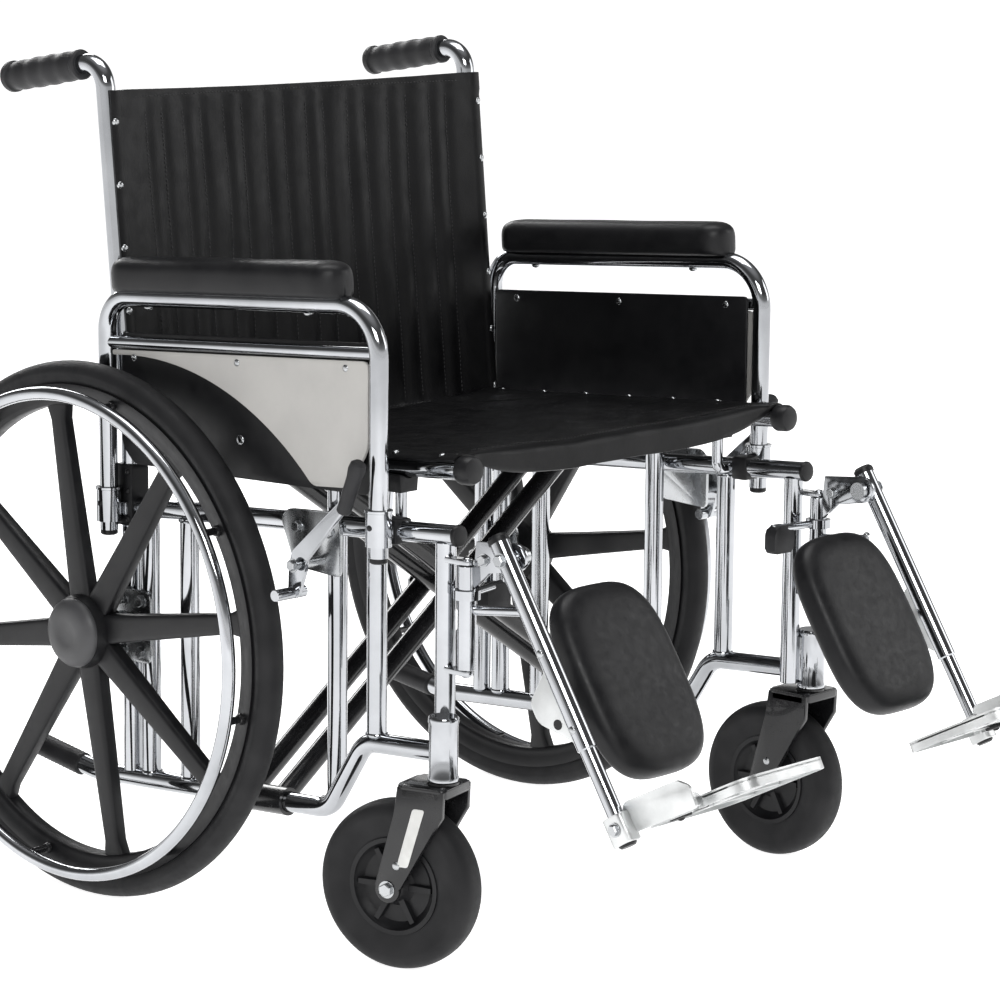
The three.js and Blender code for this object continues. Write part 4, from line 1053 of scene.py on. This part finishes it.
def back_relief(x, z):
    """Puffed channels between vertical seams, with slack creases."""
    puff = 0.0
    if CHANNELS[0] - 34 < x < CHANNELS[-1] + 34 and z < 892:
        d = min(abs(x - c) for c in CHANNELS)
        puff = 3.4 * (1 - exp(-(d / 7.5) ** 2)) - 2.2
    slack = 4.4 * noise.noise(Vector((x * 0.007, z * 0.005, 9.3)))
    slack += 2.2 * noise.noise(Vector((x * 0.02, z * 0.009, 2.2)))
    pull = 0.0
    for zs in (540, 615, 690, 765, 840):
        pull += 1.8 * exp(-((abs(x) - 270) / 26) ** 2) * exp(-((z - zs) / 14) ** 2)
    return puff + slack - pull


def back_free(x):
    return max(0.0, 1 - (abs(x) / BACK_FREE) ** 8)


def back_sling():
    section = sling_path(FRAME_X, BACK_WRAP_R, 20, 150, 62)
    rows = 60
    grid = []
    for i in range(rows + 1):
        v = i / rows
        z0 = BACK_LOW + (BACK_TOP - BACK_LOW) * v
        row = []
        for x, h, nx, nh in section:
            free = back_free(x)
            z = z0 - (4.0 * (1 - (x / FRAME_X) ** 2) * free if v > 0.97 else 0)
            relief = back_relief(x, z) * free
            hem = HEM if v > 0.94 or v < 0.04 else 0.0
            p = Vector((x, cane_y(z) - (h + relief + hem), z))
            row.append((p, Vector((nx, -nh, 0))))
        grid.append(row)
    obj = sheet_mesh("back_cover", grid, BACK_THICK, "vinyl")
    settle(obj, "right_frame", "black_vinyl", "back_sling")
    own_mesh(obj)

    bm = bmesh.new()

    def stitch(x, z, hem, along):
        y = cane_y(z) - (sling_depth(section, x) + back_relief(x, z) * back_free(x) + hem + 2.9)
        add_stitch(bm, Vector((x, y, z)), Vector(along), 3.2)

    for c in CHANNELS:
        for z in span(BACK_LOW + 18, 890, 5.0):
            stitch(c, z, 0, UP)
    for z in (BACK_TOP - 9, BACK_LOW + 9):
        for x in span(-262, 262, 5.0):
            stitch(x, z, HEM, OUT)
    obj = settle(mesh_object("back_stitches", bm, "thread"), "right_frame", "black_vinyl")
    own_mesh(obj)
    for side in SIDES:
        p = side.piece("back_screws")
        out = Vector((cos(radians(80)), -sin(radians(80)), 0))
        for z in (520, 590, 660, 730, 800, 870):
            p.dome(Vector((FRAME_X, cane_y(z), z)) + out * 16, out, 4.4, 2.2)
        p.finish("frame", "steel")


# ---- studio
def camera():
    azimuth, elevation, roll = radians(-47.748), radians(10.380), radians(0.536)
    distance, sensor, focal_ratio = 4.16328, 36, 3.676
    target = Vector((-0.029485, (-311.532 + AXLE_Y) / 1000, 0.402889))
    back = Vector((sin(azimuth) * cos(elevation), -cos(azimuth) * cos(elevation),
                   sin(elevation)))
    cam = bpy.data.cameras.new("camera")
    obj = link_new("camera", cam)
    right = (-back).cross(Vector(UP)).normalized()
    up = right.cross(-back)
    right2 = cos(roll) * right + sin(roll) * up
    up2 = -sin(roll) * right + cos(roll) * up
    basis = Matrix((right2, up2, back)).transposed()
    obj.matrix_world = Matrix.Translation(target + back * distance) @ basis.to_4x4()
    cam.sensor_width = sensor
    cam.lens = sensor * focal_ratio
    cam.shift_x = 0.0074
    cam.shift_y = 0.0410
    cam.clip_end = 60
    bpy.context.scene.camera = obj


def area(name, place, aim, size, power, color=(1, 1, 1)):
    data = bpy.data.lights.new(name, "AREA")
    data.shape = "RECTANGLE"
    data.size, data.size_y = size
    data.energy = power
    data.color = color
    obj = link_new(name, data)
    obj.location = place
    obj.rotation_euler = (Vector(aim) - Vector(place)).to_track_quat("-Z", "Y").to_euler()


def studio():
    mesh = bpy.data.meshes.new("floor")
    reach = 30
    corners = [(x * reach, y * reach, 0) for x, y in ((-1, -1), (1, -1), (1, 1), (-1, 1))]
    mesh.from_pydata(corners, [], [(0, 1, 2, 3)])
    floor = link_new("floor", mesh)
    look = Look("floor", (0.93, 0.93, 0.93), 0.9, specular=0.1)
    look.feed("Base Color", look.tint(look.noise(0.7, 2), (0.92, 0.92, 0.92), (0.94, 0.94, 0.94)))
    look.inputs["Emission Color"].default_value = (1, 1, 1, 1)
    look.inputs["Emission Strength"].default_value = 0.9
    mesh.materials.append(look.mat)
    bpy.context.scene.view_settings.view_transform = "Standard"

    world = bpy.data.worlds.new("studio")
    world.use_nodes = True
    bpy.context.scene.world = world
    nodes, links = world.node_tree.nodes, world.node_tree.links
    coord = nodes.new("ShaderNodeTexCoord")
    split = nodes.new("ShaderNodeSeparateXYZ")
    ramp = nodes.new("ShaderNodeValToRGB")
    links.new(coord.outputs["Generated"], split.inputs["Vector"])
    links.new(split.outputs["Z"], ramp.inputs["Fac"])
    stops = ramp.color_ramp.elements
    stops[0].position, stops[0].color = 0.0, (1, 1, 1, 1)
    stops[1].position, stops[1].color = 1.0, (0.5, 0.5, 0.51, 1)
    for where, value in ((0.1, 1.0), (0.2, 0.3), (0.4, 0.08), (0.7, 0.12)):
        stop = stops.new(where)
        stop.color = (value, value, value, 1)
    links.new(ramp.outputs["Color"], nodes["Background"].inputs["Color"])
    nodes["Background"].inputs["Strength"].default_value = 1.0
    area("key", (-3.2, -3.4, 3.4), (0, 0, 0.4), (2.4, 1.6), 120)
    area("fill", (3.6, -2.6, 2.2), (0, 0, 0.4), (2.0, 2.0), 35)
    area("top", (0.2, 0.4, 4.2), (0, 0, 0.3), (3.0, 2.0), 75)
    area("back", (1.5, 3.8, 2.4), (0, 0, 0.5), (2.4, 1.2), 70)


camera()
for one_side in SIDES:
    for build in (frame_tubes, frame_fittings, rear_wheel, caster, armrest, wheel_lock, legrest):
        build(one_side)
cross_brace()
seat_sling()
back_sling()
studio()
